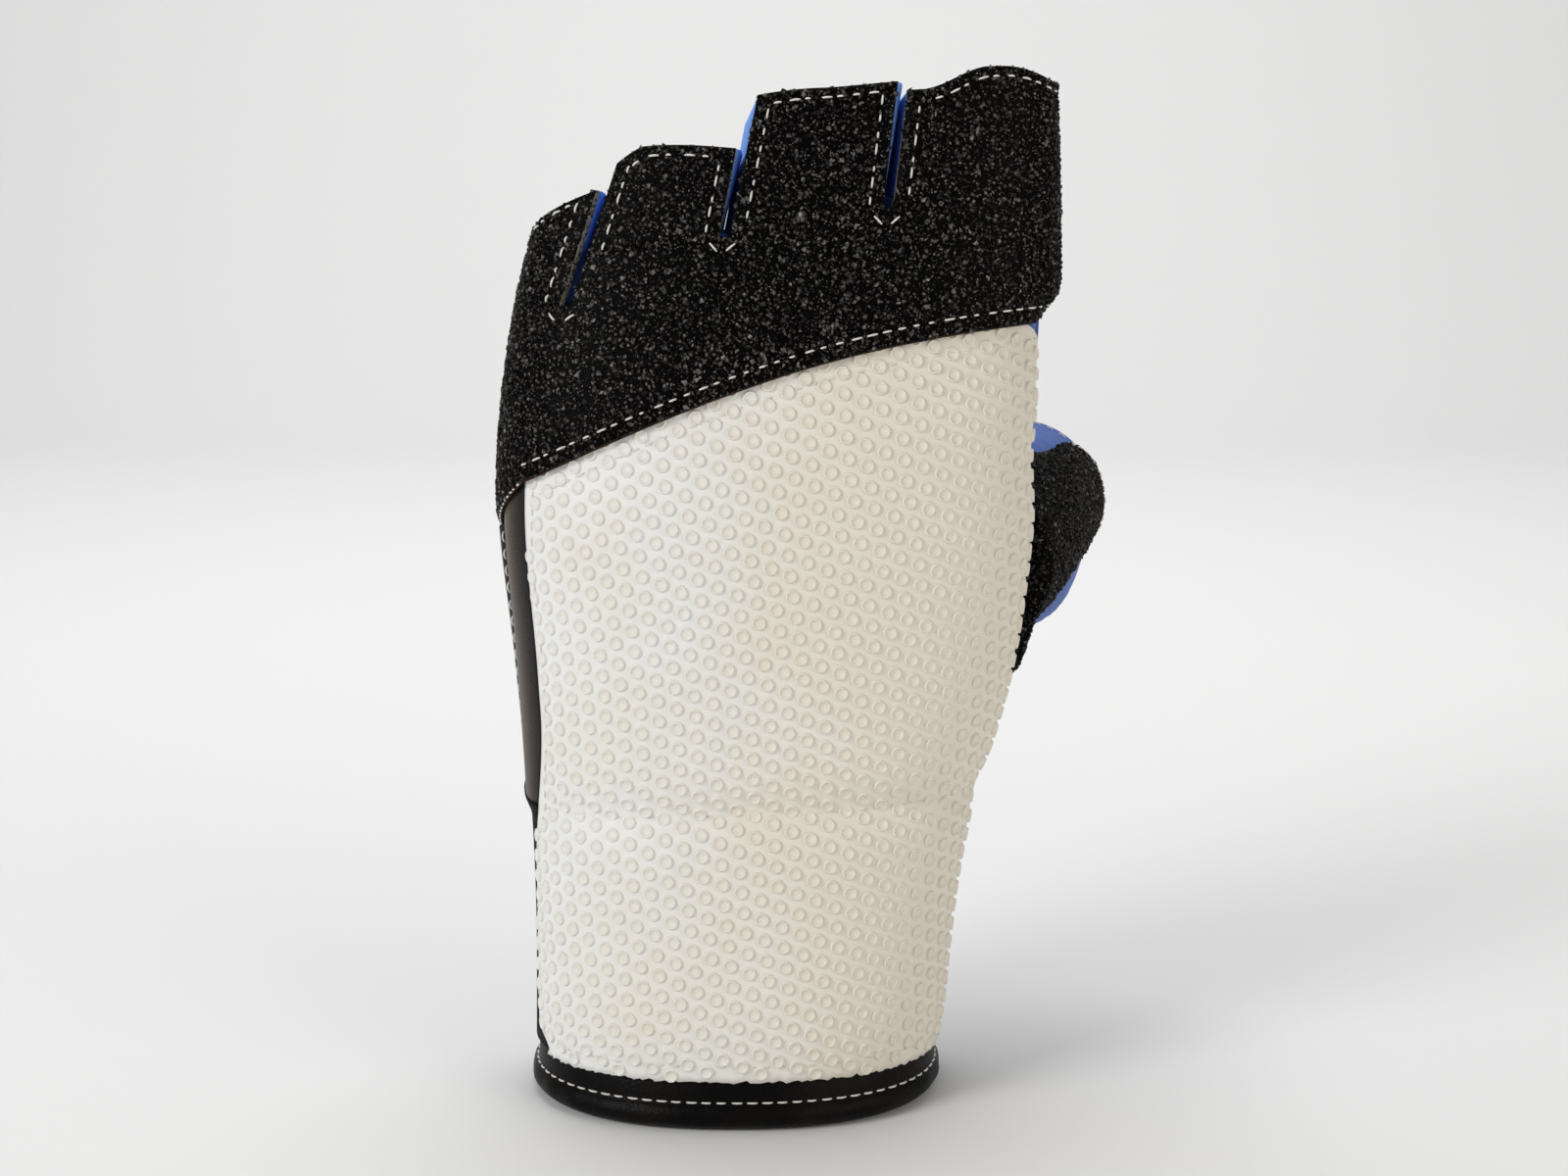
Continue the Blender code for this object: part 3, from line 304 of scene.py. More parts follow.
def through(values, z):
    """Smooth curve through one value per section: a cubic between sections with shared slopes."""
    stations = np.array(loft_sizes().heights)
    values = np.array(values)
    slopes = np.gradient(values, stations)
    k = np.clip(np.searchsorted(stations, z) - 1, 0, len(stations) - 2)
    step = stations[k + 1] - stations[k]
    t = (z - stations[k]) / step
    start = values[k] * (1 + 2 * t) * (1 - t) ** 2 + slopes[k] * step * t * (1 - t) ** 2
    return start + values[k + 1] * t ** 2 * (3 - 2 * t) - slopes[k + 1] * step * t ** 2 * (1 - t)


def waist(z):
    """How far the thumb side is drawn in under the crumb rubber's corner: a smooth step in and one out."""
    p = panels()
    corner = loft_sizes().heights[KNUCKLE] - p.grit_drops[2]
    above, fall = 6.5 * MM, 5 * MM
    below, rise = 24 * MM, 18 * MM
    drawn_in = smooth_step((corner + above - z) / fall)
    let_out = smooth_step((corner - below - z) / rise)
    return p.waist * drawn_in * (1 - let_out)


def section(z):
    """Centre and half width in X, widest line in Y, reach to back and palm, and squareness at z."""
    s = loft_sizes()
    left = through(s.left, z)
    right = through(s.right, z) - waist(z)
    power = s.hem_square + (s.tip_square - s.hem_square) * z / s.heights[TIP]
    middle, half = (right - left) / 2, (right + left) / 2
    return middle, half, through(s.curl, z), through(s.back, z), through(s.palm, z), power


def skin(phi, z, lift=0.0):
    """Point at angle phi and height z: a superellipse section, moved out along its normal by lift."""
    phi, z, lift = np.broadcast_arrays(phi, z, lift)
    mid, half, side, back, palm, power = section(z)
    c = np.cos(phi)
    s = np.sin(phi)
    depth = np.where(s < 0, back, palm)
    normal_x = np.sign(c) * np.abs(c) ** (2 - 2 / power) / half
    normal_y = np.sign(s) * np.abs(s) ** (2 - 2 / power) / depth
    size = np.hypot(normal_x, normal_y)
    x = mid + half * np.sign(c) * np.abs(c) ** (2 / power) + lift * normal_x / size
    y = side + depth * np.sign(s) * np.abs(s) ** (2 / power) + lift * normal_y / size
    return np.stack([x, y, z], axis=-1)


def back_angle(x, z):
    """Angle of the point at x on the back of the loft; the palm's point is at minus this angle."""
    mid, half, _, _, _, power = section(np.asarray(z, dtype=float))
    t = np.clip((x - mid) / half, -1, 1)
    return -np.arccos(np.sign(t) * np.abs(t) ** (power / 2))


def place():
    """Shift from the loft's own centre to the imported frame, from the wrist joint and the binding's box."""
    p = panels()
    wrist = next(joint for joint in frame["joints"] if joint["name"] == "wrist_fold")
    roll = np.linspace(p.binding_corner, p.binding_height, 40)
    nearest = skin(radians(-90), roll, p.binding_bulge)[:, 1].min()
    return np.array([wrist["pos_m"][0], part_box("cuff_binding")[0][1] - nearest, 0.0])


def seam_height(phi):
    """Height of the tilted wrist seam at an angle round the loft."""
    p = panels()
    return p.seam_height + tan(p.seam_tilt) * skin(phi, p.seam_height)[..., 0]


def grit_edge(phi):
    """Lower edge of the knuckle panel: a parabola across the back that falls away on the outer side."""
    p = panels()
    knuckle = loft_sizes().heights[KNUCKLE]
    x = skin(phi, knuckle)[..., 0]
    left = skin(p.grit_left, knuckle)[0]
    right = skin(p.right_edge, knuckle)[0]
    t = np.clip((x - left) / (right - left), 0, 1)
    drop = p.grit_drops[0] * (1 - t) * (1 - 2 * t) + p.grit_drops[1] * 4 * t * (1 - t)
    drop = drop + p.grit_drops[2] * t * (2 * t - 1)
    side = np.clip((p.grit_left - phi) / (p.grit_left - p.side_seam), 0, 1)
    return knuckle - drop - p.grit_side_drop * side


def panel_left(z):
    """Angle of the white panel's edge on the little-finger side."""
    p = panels()
    heights = loft_sizes().heights
    t = smooth_step((z - 2 * heights[WRIST] + p.seam_height) / (heights[HEEL] - heights[WRIST]))
    inset = p.inset_cuff + (p.inset_hand - p.inset_cuff) * t
    inset = inset + p.corner * np.exp(-((z - p.binding_height) / p.corner) ** 2)
    return back_angle(inset - through(loft_sizes().left, z), z)


def panel_right(z):
    """Angle of the white panel's edge on the thumb side, which rounds off under the crumb rubber."""
    p = panels()
    below = 4 * MM
    start = grit_edge(p.right_edge) - below
    return p.right_edge - p.round_off * np.clip((z - start) / (below + p.tuck), 0, 1) ** 1.2


def white_lift(phi, z):
    """Padded back: each half is crowned, and falls off in a quarter parabola at its edges and the seam."""
    p = panels()
    left = panel_left(z)
    u = (phi - left) / (p.right_edge - left)
    wrist = loft_sizes().left[WRIST] + loft_sizes().right[WRIST]
    across = np.clip(np.minimum(u, 1 - u) * wrist / p.edge, 0, 1)
    from_seam = np.abs(z - seam_height(phi))
    ends = np.minimum(z - p.binding_height, grit_edge(phi) - p.tuck - z)
    along = np.clip(np.minimum(ends / p.edge, from_seam / p.seam_width), 0, 1)
    crown = (1 - (1 - across) ** 2) * (1 - (1 - along) ** 2)
    crease_width = 0.45 * p.seam_width
    crease = np.exp(-(from_seam / crease_width) ** 2)
    return p.crown * crown - p.seam_dip * crease * np.clip(4 * across, 0, 1)


def white_point(phi, z, depth=0.0):
    """Point of the padded back, or the one at a depth under it."""
    return skin(phi, z, white_lift(phi, z) - depth)


def white_grid(rows, cols, depth, inset=0.0, foot_gap=0.0, top_gap=0.0):
    """Grid of the padded back between its edges: each row is settled until its height fits its angle."""
    p = panels()
    v = rows[:, None]
    u = np.linspace(0, 1, cols)[None, :]
    inset_angle = inset / loft_sizes().back[WRIST]
    unevenness = 0.16 * MM
    phi = p.grit_left * (1 - u) + p.right_edge * u + 0 * v
    for _ in range(SETTLING_ROUNDS):
        top = grit_edge(phi) + p.tuck - top_gap
        ragged = unevenness * (np.sin(97 * phi) + np.sin(61 * phi + 1) + np.sin(143 * phi + 2))
        z = (p.binding_height - p.overlap + foot_gap + ragged) * (1 - v) + top * v
        phi = (panel_left(z) + inset_angle) * (1 - u) + (panel_right(z) - inset_angle) * u
    return phi, z, white_point(phi, z, depth)


class Finger:
    """Edges of one finger stall on the loft."""

    def __init__(self, number):
        s = stalls()
        knuckle = loft_sizes().heights[KNUCKLE]
        self.name = FINGER_NAMES[number]
        self.number = number
        self.is_index = number == len(FINGER_NAMES) - 1
        self.root = (knuckle + s.root_left[number], knuckle + s.root_right[number])
        self.top = (knuckle + s.top_left[number], knuckle + s.top_right[number])
        self.bulge = s.bulge[number]
        self.cut = s.corner_cut[number]
        leans = list(s.slit_lean)
        self.lean = (leans[max(number - 1, 0)] + leans[min(number, 2)]) / 2
        self.slits = (number - 1 if number > 0 else None, number if number < 3 else None)

    def edge_x(self, side, z, palm, inset=0.0):
        """X along the edge beside a slit: the slit's leaning line, half its width aside, and an inset."""
        s = stalls()
        slit = self.slits[side]
        foot = loft_sizes().heights[KNUCKLE] + s.root_right[slit]
        lean = s.slit_lean[slit]
        width = s.palm_slit if palm else s.slit_width
        middle = s.slit_x[slit] + (s.palm_shift[slit] if palm else 0)
        outward = 1 if side == 0 else -1
        return middle + (z - foot) * tan(lean) + outward * (width / 2 / cos(lean) + inset)

    def edge(self, side, z, palm, inset=0.0):
        """Angle along the left (0) or right (1) edge; an outer edge follows the loft's own side."""
        s = stalls()
        p = panels()
        if self.slits[side] is not None:
            angle = back_angle(self.edge_x(side, z, palm, inset), z)
            return -angle if palm else angle
        if side == 0:
            outer = FULL_TURN + p.side_seam - s.outer_wall if palm else p.side_seam + s.little_edge
        else:
            outer = s.outer_wall if palm else p.right_edge
        return np.full(np.shape(z), outer)

    def root_edge(self, palm, steps):
        """Angles and heights along the stall's root, from left to right."""
        left = float(self.edge(0, np.array([self.root[0]]), palm)[0])
        right = float(self.edge(1, np.array([self.root[1]]), palm)[0])
        return np.linspace(left, right, steps), np.linspace(*self.root, steps)

    def crest(self, u):
        """Rise of the top edge: a parabola less the cut corner, or on the index a smooth step and a fall."""
        if not self.is_index:
            cut_share = 0.24
            return self.hump(u) - self.cut * np.clip(1 - u / cut_share, 0, 1) ** 1.3
        across = 1 - (1 - u) ** 1.9
        step_start, step_width, fall_start = 0.08, 0.45, 0.6
        fall = np.clip((across - fall_start) / (1 - fall_start), 0, 1) ** 2.2
        return self.bulge * smooth_step((across - step_start) / step_width) * (1 - fall)

    def hump(self, u):
        """Parabola across the stall, as high as its bulge."""
        return self.bulge * 4 * u * (1 - u)

    def grid(self, palm, rows, cols):
        """Angles and heights of the stall's back or palm side: straight edges, with a bulging top edge."""
        v, u = spans(rows, cols)
        drop = stalls().palm_drop if palm else 0
        crest = self.hump(u) if palm and not self.is_index else self.crest(u)
        ends = [self.root[k] + (self.top[k] - drop - self.root[k]) * v for k in (0, 1)]
        phi = self.edge(0, ends[0], palm) * (1 - u) + self.edge(1, ends[1], palm) * u
        z = ends[0] * (1 - u) + ends[1] * u + crest * v
        return (phi[:, ::-1], z[:, ::-1]) if palm else (phi, z)


def fingers():
    """The four finger stalls, from the little finger to the index."""
    return [Finger(number) for number in range(len(FINGER_NAMES))]


def hand_edge(palm, steps):
    """Angles and heights of the hand's stepped top edge: stall roots, with a level foot in each slit."""
    p = panels()
    made = fingers()
    edges = []
    for finger, after in zip(made, made[1:] + [None]):
        edges.append(finger.root_edge(palm, steps))
        if after:
            foot = np.array(finger.root[1:])
            edges.append((after.edge(0, foot, palm), foot))
    phi = np.concatenate([edge[0] for edge in edges])
    z = np.concatenate([edge[1] for edge in edges])
    if palm:
        phi = np.concatenate([[FULL_TURN + p.side_seam], phi, [p.right_edge]])[::-1]
        return phi, np.concatenate([z[:1], z, z[-1:]])[::-1]
    return np.concatenate([[p.side_seam], phi]), np.concatenate([z[:1], z])


def thumb_axes():
    """Start of the thumb's axis, its direction, and the two directions across it (right and up)."""
    s = stalls()
    loft = loft_sizes()
    start = np.array([loft.right[PALM] - s.thumb_inset, -s.thumb_depth, loft.heights[PALM] - s.thumb_drop])
    flat = cos(s.thumb_rise)
    along = np.array([sin(s.thumb_out) * flat, cos(s.thumb_out) * flat, sin(s.thumb_rise)])
    across = unit(np.cross(along, [0, 0, 1]))
    return start, along, across, np.cross(across, along)


def thumb_radius(s):
    """Radius along the thumb's axis: a parabola through root, belly and mouth."""
    root, belly, mouth = stalls().thumb_radii
    t = s / stalls().thumb_length
    return root * (1 - t) * (1 - 2 * t) + mouth * t * (2 * t - 1) + belly * 4 * t * (1 - t)


def thumb_point(theta, s, lift):
    """Point round the thumb: its axis plus the radius there, in the direction theta (0 right, 90 up)."""
    start, along, across, up = thumb_axes()
    radius = thumb_radius(s) + lift
    theta, s, radius = (np.asarray(a)[..., None] for a in np.broadcast_arrays(theta, s, radius))
    return start + along * s + radius * (across * np.cos(theta) + up * np.sin(theta))


def thumb_root(theta, lift, clear):
    """Distance along the axis where the stall is clear of the hand and the white panel, by halving."""
    low = np.zeros(np.shape(theta))
    high = np.full(np.shape(theta), stalls().thumb_length)
    for _ in range(HALVINGS):
        middle = (low + high) / 2
        at = thumb_point(theta, middle, lift)
        mid, half, side, back, palm, power = section(at[..., 2])
        depth = np.where(at[..., 1] < side, back, palm) + clear
        inside = np.abs((at[..., 0] - mid) / (half + clear)) ** power
        inside = inside + np.abs((at[..., 1] - side) / depth) ** power < 1
        inside |= at[..., 1] < skin(panels().right_edge, at[..., 2])[..., 1]
        low = np.where(inside, middle, low)
        high = np.where(inside, high, middle)
    return high


def sunk(points, lift):
    """Places on the hand's surface, moved out by lift, level with points near it: a sewn-in flange."""
    mid, half, side, back, palm, power = section(points[..., 2])
    x = (points[..., 0] - mid) / half
    y = points[..., 1] - side
    y = y / np.where(y < 0, back, palm)
    phi = np.arctan2(np.sign(y) * np.abs(y) ** (power / 2), np.sign(x) * np.abs(x) ** (power / 2))
    return skin(phi, points[..., 2], lift)


def quads(rows, cols, wrap=False):
    """Corner numbers of a grid's quads, row by row; wrap joins the last column to the first."""
    i, j = np.meshgrid(np.arange(rows - 1), np.arange(cols if wrap else cols - 1), indexing="ij")
    a = i * cols + j
    b = i * cols + (j + 1) % cols
    return np.stack([a, b, b + cols, a + cols], -1).reshape(-1, 4)


def grid_normals(points, wrap=False):
    """Unit normals of a grid: the step along a row crossed with the step from row to row."""
    if wrap:
        across = np.roll(points, -1, axis=1) - np.roll(points, 1, axis=1)
    else:
        across = np.gradient(points, axis=1)
    return unit(np.cross(across, np.gradient(points, axis=0)))


def edge_loops(rows, cols, wrap):
    """Vertex numbers round the grid's edge, with the grid on the left."""
    top = (rows - 1) * cols
    if wrap:
        return [np.arange(cols), top + np.arange(cols)[::-1]]
    right = np.arange(2, rows + 1) * cols - 1
    return [np.concatenate([np.arange(cols), right, top + np.arange(cols - 2, -1, -1),
                            np.arange(rows - 2, 0, -1) * cols])]


def layer(outer, inner, finish=(0, 0, 0), wrap=False):
    """Closed layer between an outer and an inner grid; finish numbers are outside, inside and rim."""
    rows, cols = outer.shape[:2]
    count = rows * cols
    face = quads(rows, cols, wrap)
    rims = []
    for loop in edge_loops(rows, cols, wrap):
        after = np.roll(loop, -1)
        rims.append(np.stack([after, loop, loop + count, after + count], -1))
    faces = [(face, finish[0], True), (face[:, ::-1] + count, finish[1], True),
             (np.concatenate(rims), finish[2], False)]
    points = np.concatenate([outer.reshape(-1, 3), inner.reshape(-1, 3)])
    return {"points": points, "faces": faces, "tint": 0.0}


def sheet(points, thickness, finish=(0, 0, 0), wrap=False):
    """Closed sheet: the grid, and the same grid moved in along its normals by the thickness."""
    return layer(points, points - grid_normals(points, wrap) * thickness, finish, wrap)


def crumbs(points, seed, shade):
    """Rubber crumbs scattered over a grid: evenly by area, each an uneven eight-sided chip, pared flat."""
    d = detail()
    rise, pared_from, pared_share = 0.12, 0.5, 0.8
    rng = np.random.default_rng(seed)
    a, b = points[:-1, :-1].reshape(-1, 3), points[:-1, 1:].reshape(-1, 3)
    c, e = points[1:, 1:].reshape(-1, 3), points[1:, :-1].reshape(-1, 3)
    normal = np.cross(c - a, e - b)
    size = np.linalg.norm(normal, axis=1)
    total = np.cumsum(size / 2)
    count = int(total[-1] / d.spacing ** 2)
    k = np.searchsorted(total, (np.arange(count) + rng.random(count)) / count * total[-1])
    k = np.minimum(k, len(a) - 1)
    u = rng.random((count, 1))
    v = rng.random((count, 1))
    at = (a[k] * (1 - u) + b[k] * u) * (1 - v) + (e[k] * (1 - u) + c[k] * u) * v
    grain = d.crumb * (0.5 + 1.2 * rng.random((count, 1)) ** 2)
    outward = unit(normal)[k]
    at = at + outward * grain * rise
    w, x, y, z = unit(rng.normal(size=(count, 4))).T
    axes = np.stack([
        np.stack([1 - 2 * (y * y + z * z), 2 * (x * y + z * w), 2 * (x * z - y * w)], -1),
        np.stack([2 * (x * y - z * w), 1 - 2 * (x * x + z * z), 2 * (y * z + x * w)], -1),
        np.stack([2 * (x * z + y * w), 2 * (y * z - x * w), 1 - 2 * (x * x + y * y)], -1)], axis=1)
    stretch = np.tile(rng.uniform(0.5, 1.55, (count, 3)), 2) * rng.uniform(0.7, 1.2, (count, 6))
    spokes = np.concatenate([axes, -axes], axis=1) * stretch[..., None]
    proud = np.sum(spokes * outward[:, None], axis=2, keepdims=True)
    spokes = spokes - outward[:, None] * np.maximum(proud - pared_from, 0) * pared_share
    verts = at[:, None] + grain[:, None] * spokes
    octahedron = np.array([(0, 1, 2), (1, 3, 2), (3, 4, 2), (4, 0, 2),
                           (1, 0, 5), (3, 1, 5), (4, 3, 5), (0, 4, 5)])
    faces = (np.arange(count)[:, None, None] * 6 + octahedron).reshape(-1, 3)
    # Paler corners at random, as grey granules and as painted facet highlights; shade scales them down.
    tint = shade * ((0.3 + 0.6 * rng.random((count, 1))) * rng.random((count, 6)) ** 5).ravel()
    return {"points": verts.reshape(-1, 3), "faces": [(faces, 0, False)], "tint": tint}


def repeated(verts, walls, caps, tint):
    """Part of like shapes: each has its own points, and the same quads and triangles."""
    count, size = verts.shape[:2]
    start = np.arange(count)[:, None, None] * size
    faces = [((start + walls).reshape(-1, 4), 0, True), ((start + caps).reshape(-1, 3), 0, True)]
    return {"points": verts.reshape(-1, 3), "faces": faces, "tint": tint}


def pimples(at, across, up, normal):
    """Moulded pimples: a profile with a rounded rim and a shallow dimple, turned round each normal."""
    d = detail()
    profile = np.array([(1.08, -0.3), (1.0, 0.5), (0.93, 0.92), (0.85, 1.0), (0.76, 0.8), (0.66, 0.45)])
    dimple = 0.35
    sides = 11
    angle = np.arange(sides) / sides * FULL_TURN
    reach = profile[:, 0, None] * d.pimple
    rise = np.repeat(profile[:, 1:] * d.height, sides, 1)
    ring = np.stack([reach * np.cos(angle), reach * np.sin(angle), rise], -1)
    flat = np.concatenate([ring.reshape(-1, 3), [[0, 0, dimple * d.height]]])
    axes = np.stack([across, up, normal], axis=1)
    verts = at[:, None] + np.einsum("vk,nkc->nvc", flat, axes)
    last = (len(profile) - 1) * sides + np.arange(sides)
    cap = np.stack([last, np.roll(last, -1), np.full(sides, len(flat) - 1)], -1)
    return repeated(verts, quads(len(profile), sides, wrap=True), cap, 1.0)


def stitches(points, normals, lift=0.6, least=0.9, scale=1.0):
    """Stitches along a line: each a short tube that rises from the surface and dives back in a half sine."""
    d = detail()
    pitch = d.stitch_pitch * scale
    stitch = d.stitch * scale
    steps = np.linalg.norm(np.diff(points, axis=0), axis=1)
    run = np.concatenate([[0], np.cumsum(steps)])
    count = max(int(run[-1] / pitch), 1)
    rng = np.random.default_rng(STITCH_SEED)
    start = (np.arange(count) + 0.5) * run[-1] / count - stitch / 2
    rows, sides = 5, 7
    t = np.linspace(0.06, 0.94, rows)
    reach = stitch * rng.uniform(least, 1.08, (count, 1))
    ends = np.concatenate([[0], t, [1]])
    s = start[:, None] + ends * reach
    at = np.stack([np.interp(s, run, points[:, k]) for k in range(3)], -1)
    normal = np.stack([np.interp(s, run, normals[:, k]) for k in range(3)], -1)
    normal = unit(normal)
    arch = np.sin(np.pi * ends) ** 0.6
    at = at + normal * ((arch * (1 + lift) - 1) * d.thread)[None, :, None]
    tangent = unit(np.gradient(at, axis=1))
    side = unit(np.cross(tangent, normal))
    upward = np.cross(side, tangent)
    angle = np.arange(sides) / sides * FULL_TURN
    girth = d.thread * (0.72 + 0.28 * np.sin(np.pi * t))[None, :, None, None]
    ring = side[:, 1:-1, None] * np.cos(angle)[:, None] + upward[:, 1:-1, None] * np.sin(angle)[:, None]
    tube = at[:, 1:-1, None] + ring * girth
    verts = np.concatenate([tube.reshape(count, -1, 3), at[:, :1], at[:, -1:]], axis=1)
    first = np.arange(sides)
    last = (rows - 1) * sides + first
    caps = np.concatenate([np.stack([first, np.roll(first, -1), np.full(sides, rows * sides)], -1),
                           np.stack([np.roll(last, -1), last, np.full(sides, rows * sides + 1)], -1)])
    return repeated(verts, quads(rows, sides, wrap=True)[:, ::-1], caps, 0.0)


def surface_frame(point, a, b):
    """Place, two directions and the outward normal of a surface, by differences along its two parameters."""
    step_a, step_b = 0.004, 0.0004  # radians and metres
    at = point(a, b)
    across = point(a + step_a, b) - point(a - step_a, b)
    up = point(a, b + step_b) - point(a, b - step_b)
    normal = unit(np.cross(across, up))
    across = unit(across)
    return at, across, np.cross(normal, across), normal


def sewn(point, a, b, **options):
    """Stitches along a line of places on a surface."""
    at, _, _, normal = surface_frame(point, np.asarray(a, float), np.asarray(b, float))
    return stitches(at, normal, **options)


def on_skin(lift):
    """The loft's surface, moved out by lift."""
    return lambda phi, z: skin(phi, z, lift)


def joined(*pieces):
    """Runs of angles and heights joined end to end."""
    return [np.concatenate(values) for values in zip(*pieces)]


def add_piece(name, parts, finishes, stands_for=()):
    """One mesh object at the origin from the parts' points and faces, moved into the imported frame."""
    offsets = np.cumsum([0] + [len(part["points"]) for part in parts])
    points = np.concatenate([part["points"] for part in parts]) + place()
    faces, numbers, smooth = [], [], []
    for part, offset in zip(parts, offsets):
        for corners, number, soft in part["faces"]:
            faces += (corners + offset).tolist()
            numbers.append(np.full(len(corners), number))
            smooth.append(np.full(len(corners), soft))
    mesh = bpy.data.meshes.new(name)
    mesh.from_pydata(points.tolist(), [], faces)
    mesh.polygons.foreach_set("material_index", np.concatenate(numbers).astype(np.int32))
    mesh.polygons.foreach_set("use_smooth", np.concatenate(smooth))
    tint = np.concatenate([np.broadcast_to(part["tint"], len(part["points"])) for part in parts])
    mesh.attributes.new("tint", "FLOAT", "POINT").data.foreach_set("value", tint.astype(np.float32))
    for name_of_finish in finishes:
        mesh.materials.append(finish(name_of_finish))
    mesh.update()
    if mesh.validate():
        raise RuntimeError(name + " has faces that don't close")
    piece = bpy.data.objects.new(name, mesh)
    bpy.context.scene.collection.objects.link(piece)
    if stands_for:
        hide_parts(*stands_for)
    return piece


def fold_wrist(piece):
    """Bakes the piece's transform into its mesh; the middle of the wrist seam is worked out, and nothing uses
    it.
    """
    p = panels()
    middle = np.array([0, 0, p.seam_height]) + place()
    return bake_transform(piece)


def fold_finger(piece, finger):
    """Bakes the piece's transform into its mesh; the span from above the whole root to below the top is
    worked out, and nothing uses it.
    """
    along = np.array([sin(finger.lean), 0, cos(finger.lean)])
    start = max((skin(*finger.root_edge(palm, 12)) @ along).max() for palm in (BACK, INNER))
    tops = np.array(finger.top)
    corners = [skin(finger.edge(k, tops[k:k + 1], BACK), tops[k:k + 1])[0] for k in (0, 1)]
    base = place()
    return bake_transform(piece)


def fold_thumb(piece):
    """Bakes the piece's transform into its mesh; the ring of the thumb's root is worked out, and nothing uses
    it.
    """
    theta = np.linspace(0, FULL_TURN, 60)
    root = thumb_point(theta, thumb_root(theta, 0, panels().clearance), 0)
    base = place()
    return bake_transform(piece)


def linear(hex_colour):
    """Linear colour from an sRGB hex value."""
    value = np.array([int(hex_colour[k:k + 2], 16) / 255 for k in (1, 3, 5)])
    low = value / 12.92
    high = ((value + 0.055) / 1.055) ** 2.4
    return (*np.where(value <= 0.04045, low, high).tolist(), 1.0)


def node(tree, kind, inputs=None, **settings):
    """Adds a node, sets its options and its inputs, and links the inputs that are given as sockets."""
    made = tree.nodes.new(kind)
    for name, value in settings.items():
        setattr(made, name, value)
    for name, value in (inputs or {}).items():
        if isinstance(value, bpy.types.NodeSocket):
            tree.links.new(value, made.inputs[name])
        else:
            made.inputs[name].default_value = value
    return made


def material(name, **shader):
    """New material with constant values on its shader; returns it with its tree, shader and coordinates."""
    made = bpy.data.materials.new(name)
    made.use_nodes = True
    tree = made.node_tree
    bsdf = tree.nodes["Principled BSDF"]
    for socket, value in shader.items():
        bsdf.inputs[socket.replace("_", " ")].default_value = value
    coords = node(tree, "ShaderNodeTexCoord").outputs["Object"]
    return made, tree, bsdf, coords


def per_metre(millimetres):
    """Texture scale for a pattern of this size."""
    return 1000 / millimetres


def mixed(tree, factor, first, second):
    """Colour between two colours by a factor socket."""
    made = node(tree, "ShaderNodeMix", data_type="RGBA")
    tree.links.new(factor, made.inputs["Factor"])
    made.inputs[6].default_value = first
    made.inputs[7].default_value = second
    return made.outputs[2]


def moulded_pimple_rubber():
    """White natural rubber, pressure moulded: satin, in soft random clouds of cream, a little creamier on the
    pimples, with painted shade that makes it darker and warmer towards the thumb side.
    """
    c = colours()
    made, tree, bsdf, coords = material("moulded_pimple_rubber", Roughness=0.5, IOR=1.5,
                                        Specular_IOR_Level=0.3)
    cloud = node(tree, "ShaderNodeTexNoise", {"Vector": coords, "Scale": per_metre(30), "Detail": 3.0})
    # Painted shade: the mix moves to the darker, warmer cream towards the thumb side along object X, plus
    # random clouds; the pimples sit a little further towards it.
    side = node(tree, "ShaderNodeSeparateXYZ", {0: coords})
    across = node(tree, "ShaderNodeMapRange", {0: side.outputs[0], 1: -0.06, 2: 0.04, 3: -0.15, 4: 0.85})
    warm_shade_and_clouds = node(tree, "ShaderNodeMath", {0: across.outputs[0], 1: cloud.outputs[0]}, operation="ADD")
    pimple = node(tree, "ShaderNodeAttribute", attribute_name="tint")
    warm_shade_and_clouds = node(tree, "ShaderNodeMath", {0: pimple.outputs["Fac"], 1: 0.2, 2: warm_shade_and_clouds.outputs[0]},
                operation="MULTIPLY_ADD")
    shade = node(tree, "ShaderNodeMapRange", {0: warm_shade_and_clouds.outputs[0], 1: 0.45, 2: 1.1})
    tree.links.new(mixed(tree, shade.outputs[0], linear(c.cream), linear(c.cream_warm_shade)),
                   bsdf.inputs["Base Color"])
    fine = node(tree, "ShaderNodeTexNoise", {"Vector": coords, "Scale": per_metre(0.5), "Detail": 2.0})
    bump = node(tree, "ShaderNodeBump", {"Height": fine.outputs[0], "Strength": 0.12, "Distance": 0.08 * MM})
    tree.links.new(bump.outputs[0], bsdf.inputs["Normal"])
    return made


def bonded_crumb_rubber():
    """Black crumb rubber, granules bonded and split: near black, with paler corners by the crumbs' tint,
    partly grey granules and partly painted facet highlights.
    """
    c = colours()
    made, tree, bsdf, coords = material("bonded_crumb_rubber", Roughness=0.4, IOR=1.5,
                                        Specular_IOR_Level=0.03)
    tint = node(tree, "ShaderNodeAttribute", attribute_name="tint")
    tree.links.new(mixed(tree, tint.outputs["Fac"], linear(c.crumb_dark), linear(c.crumb_pale_and_highlight)),
                   bsdf.inputs["Base Color"])
    fine = node(tree, "ShaderNodeTexNoise", {"Vector": coords, "Scale": per_metre(0.45), "Detail": 3.0})
    bump = node(tree, "ShaderNodeBump", {"Height": fine.outputs[0], "Strength": 0.6, "Distance": 0.25 * MM})
    tree.links.new(bump.outputs[0], bsdf.inputs["Normal"])
    return made


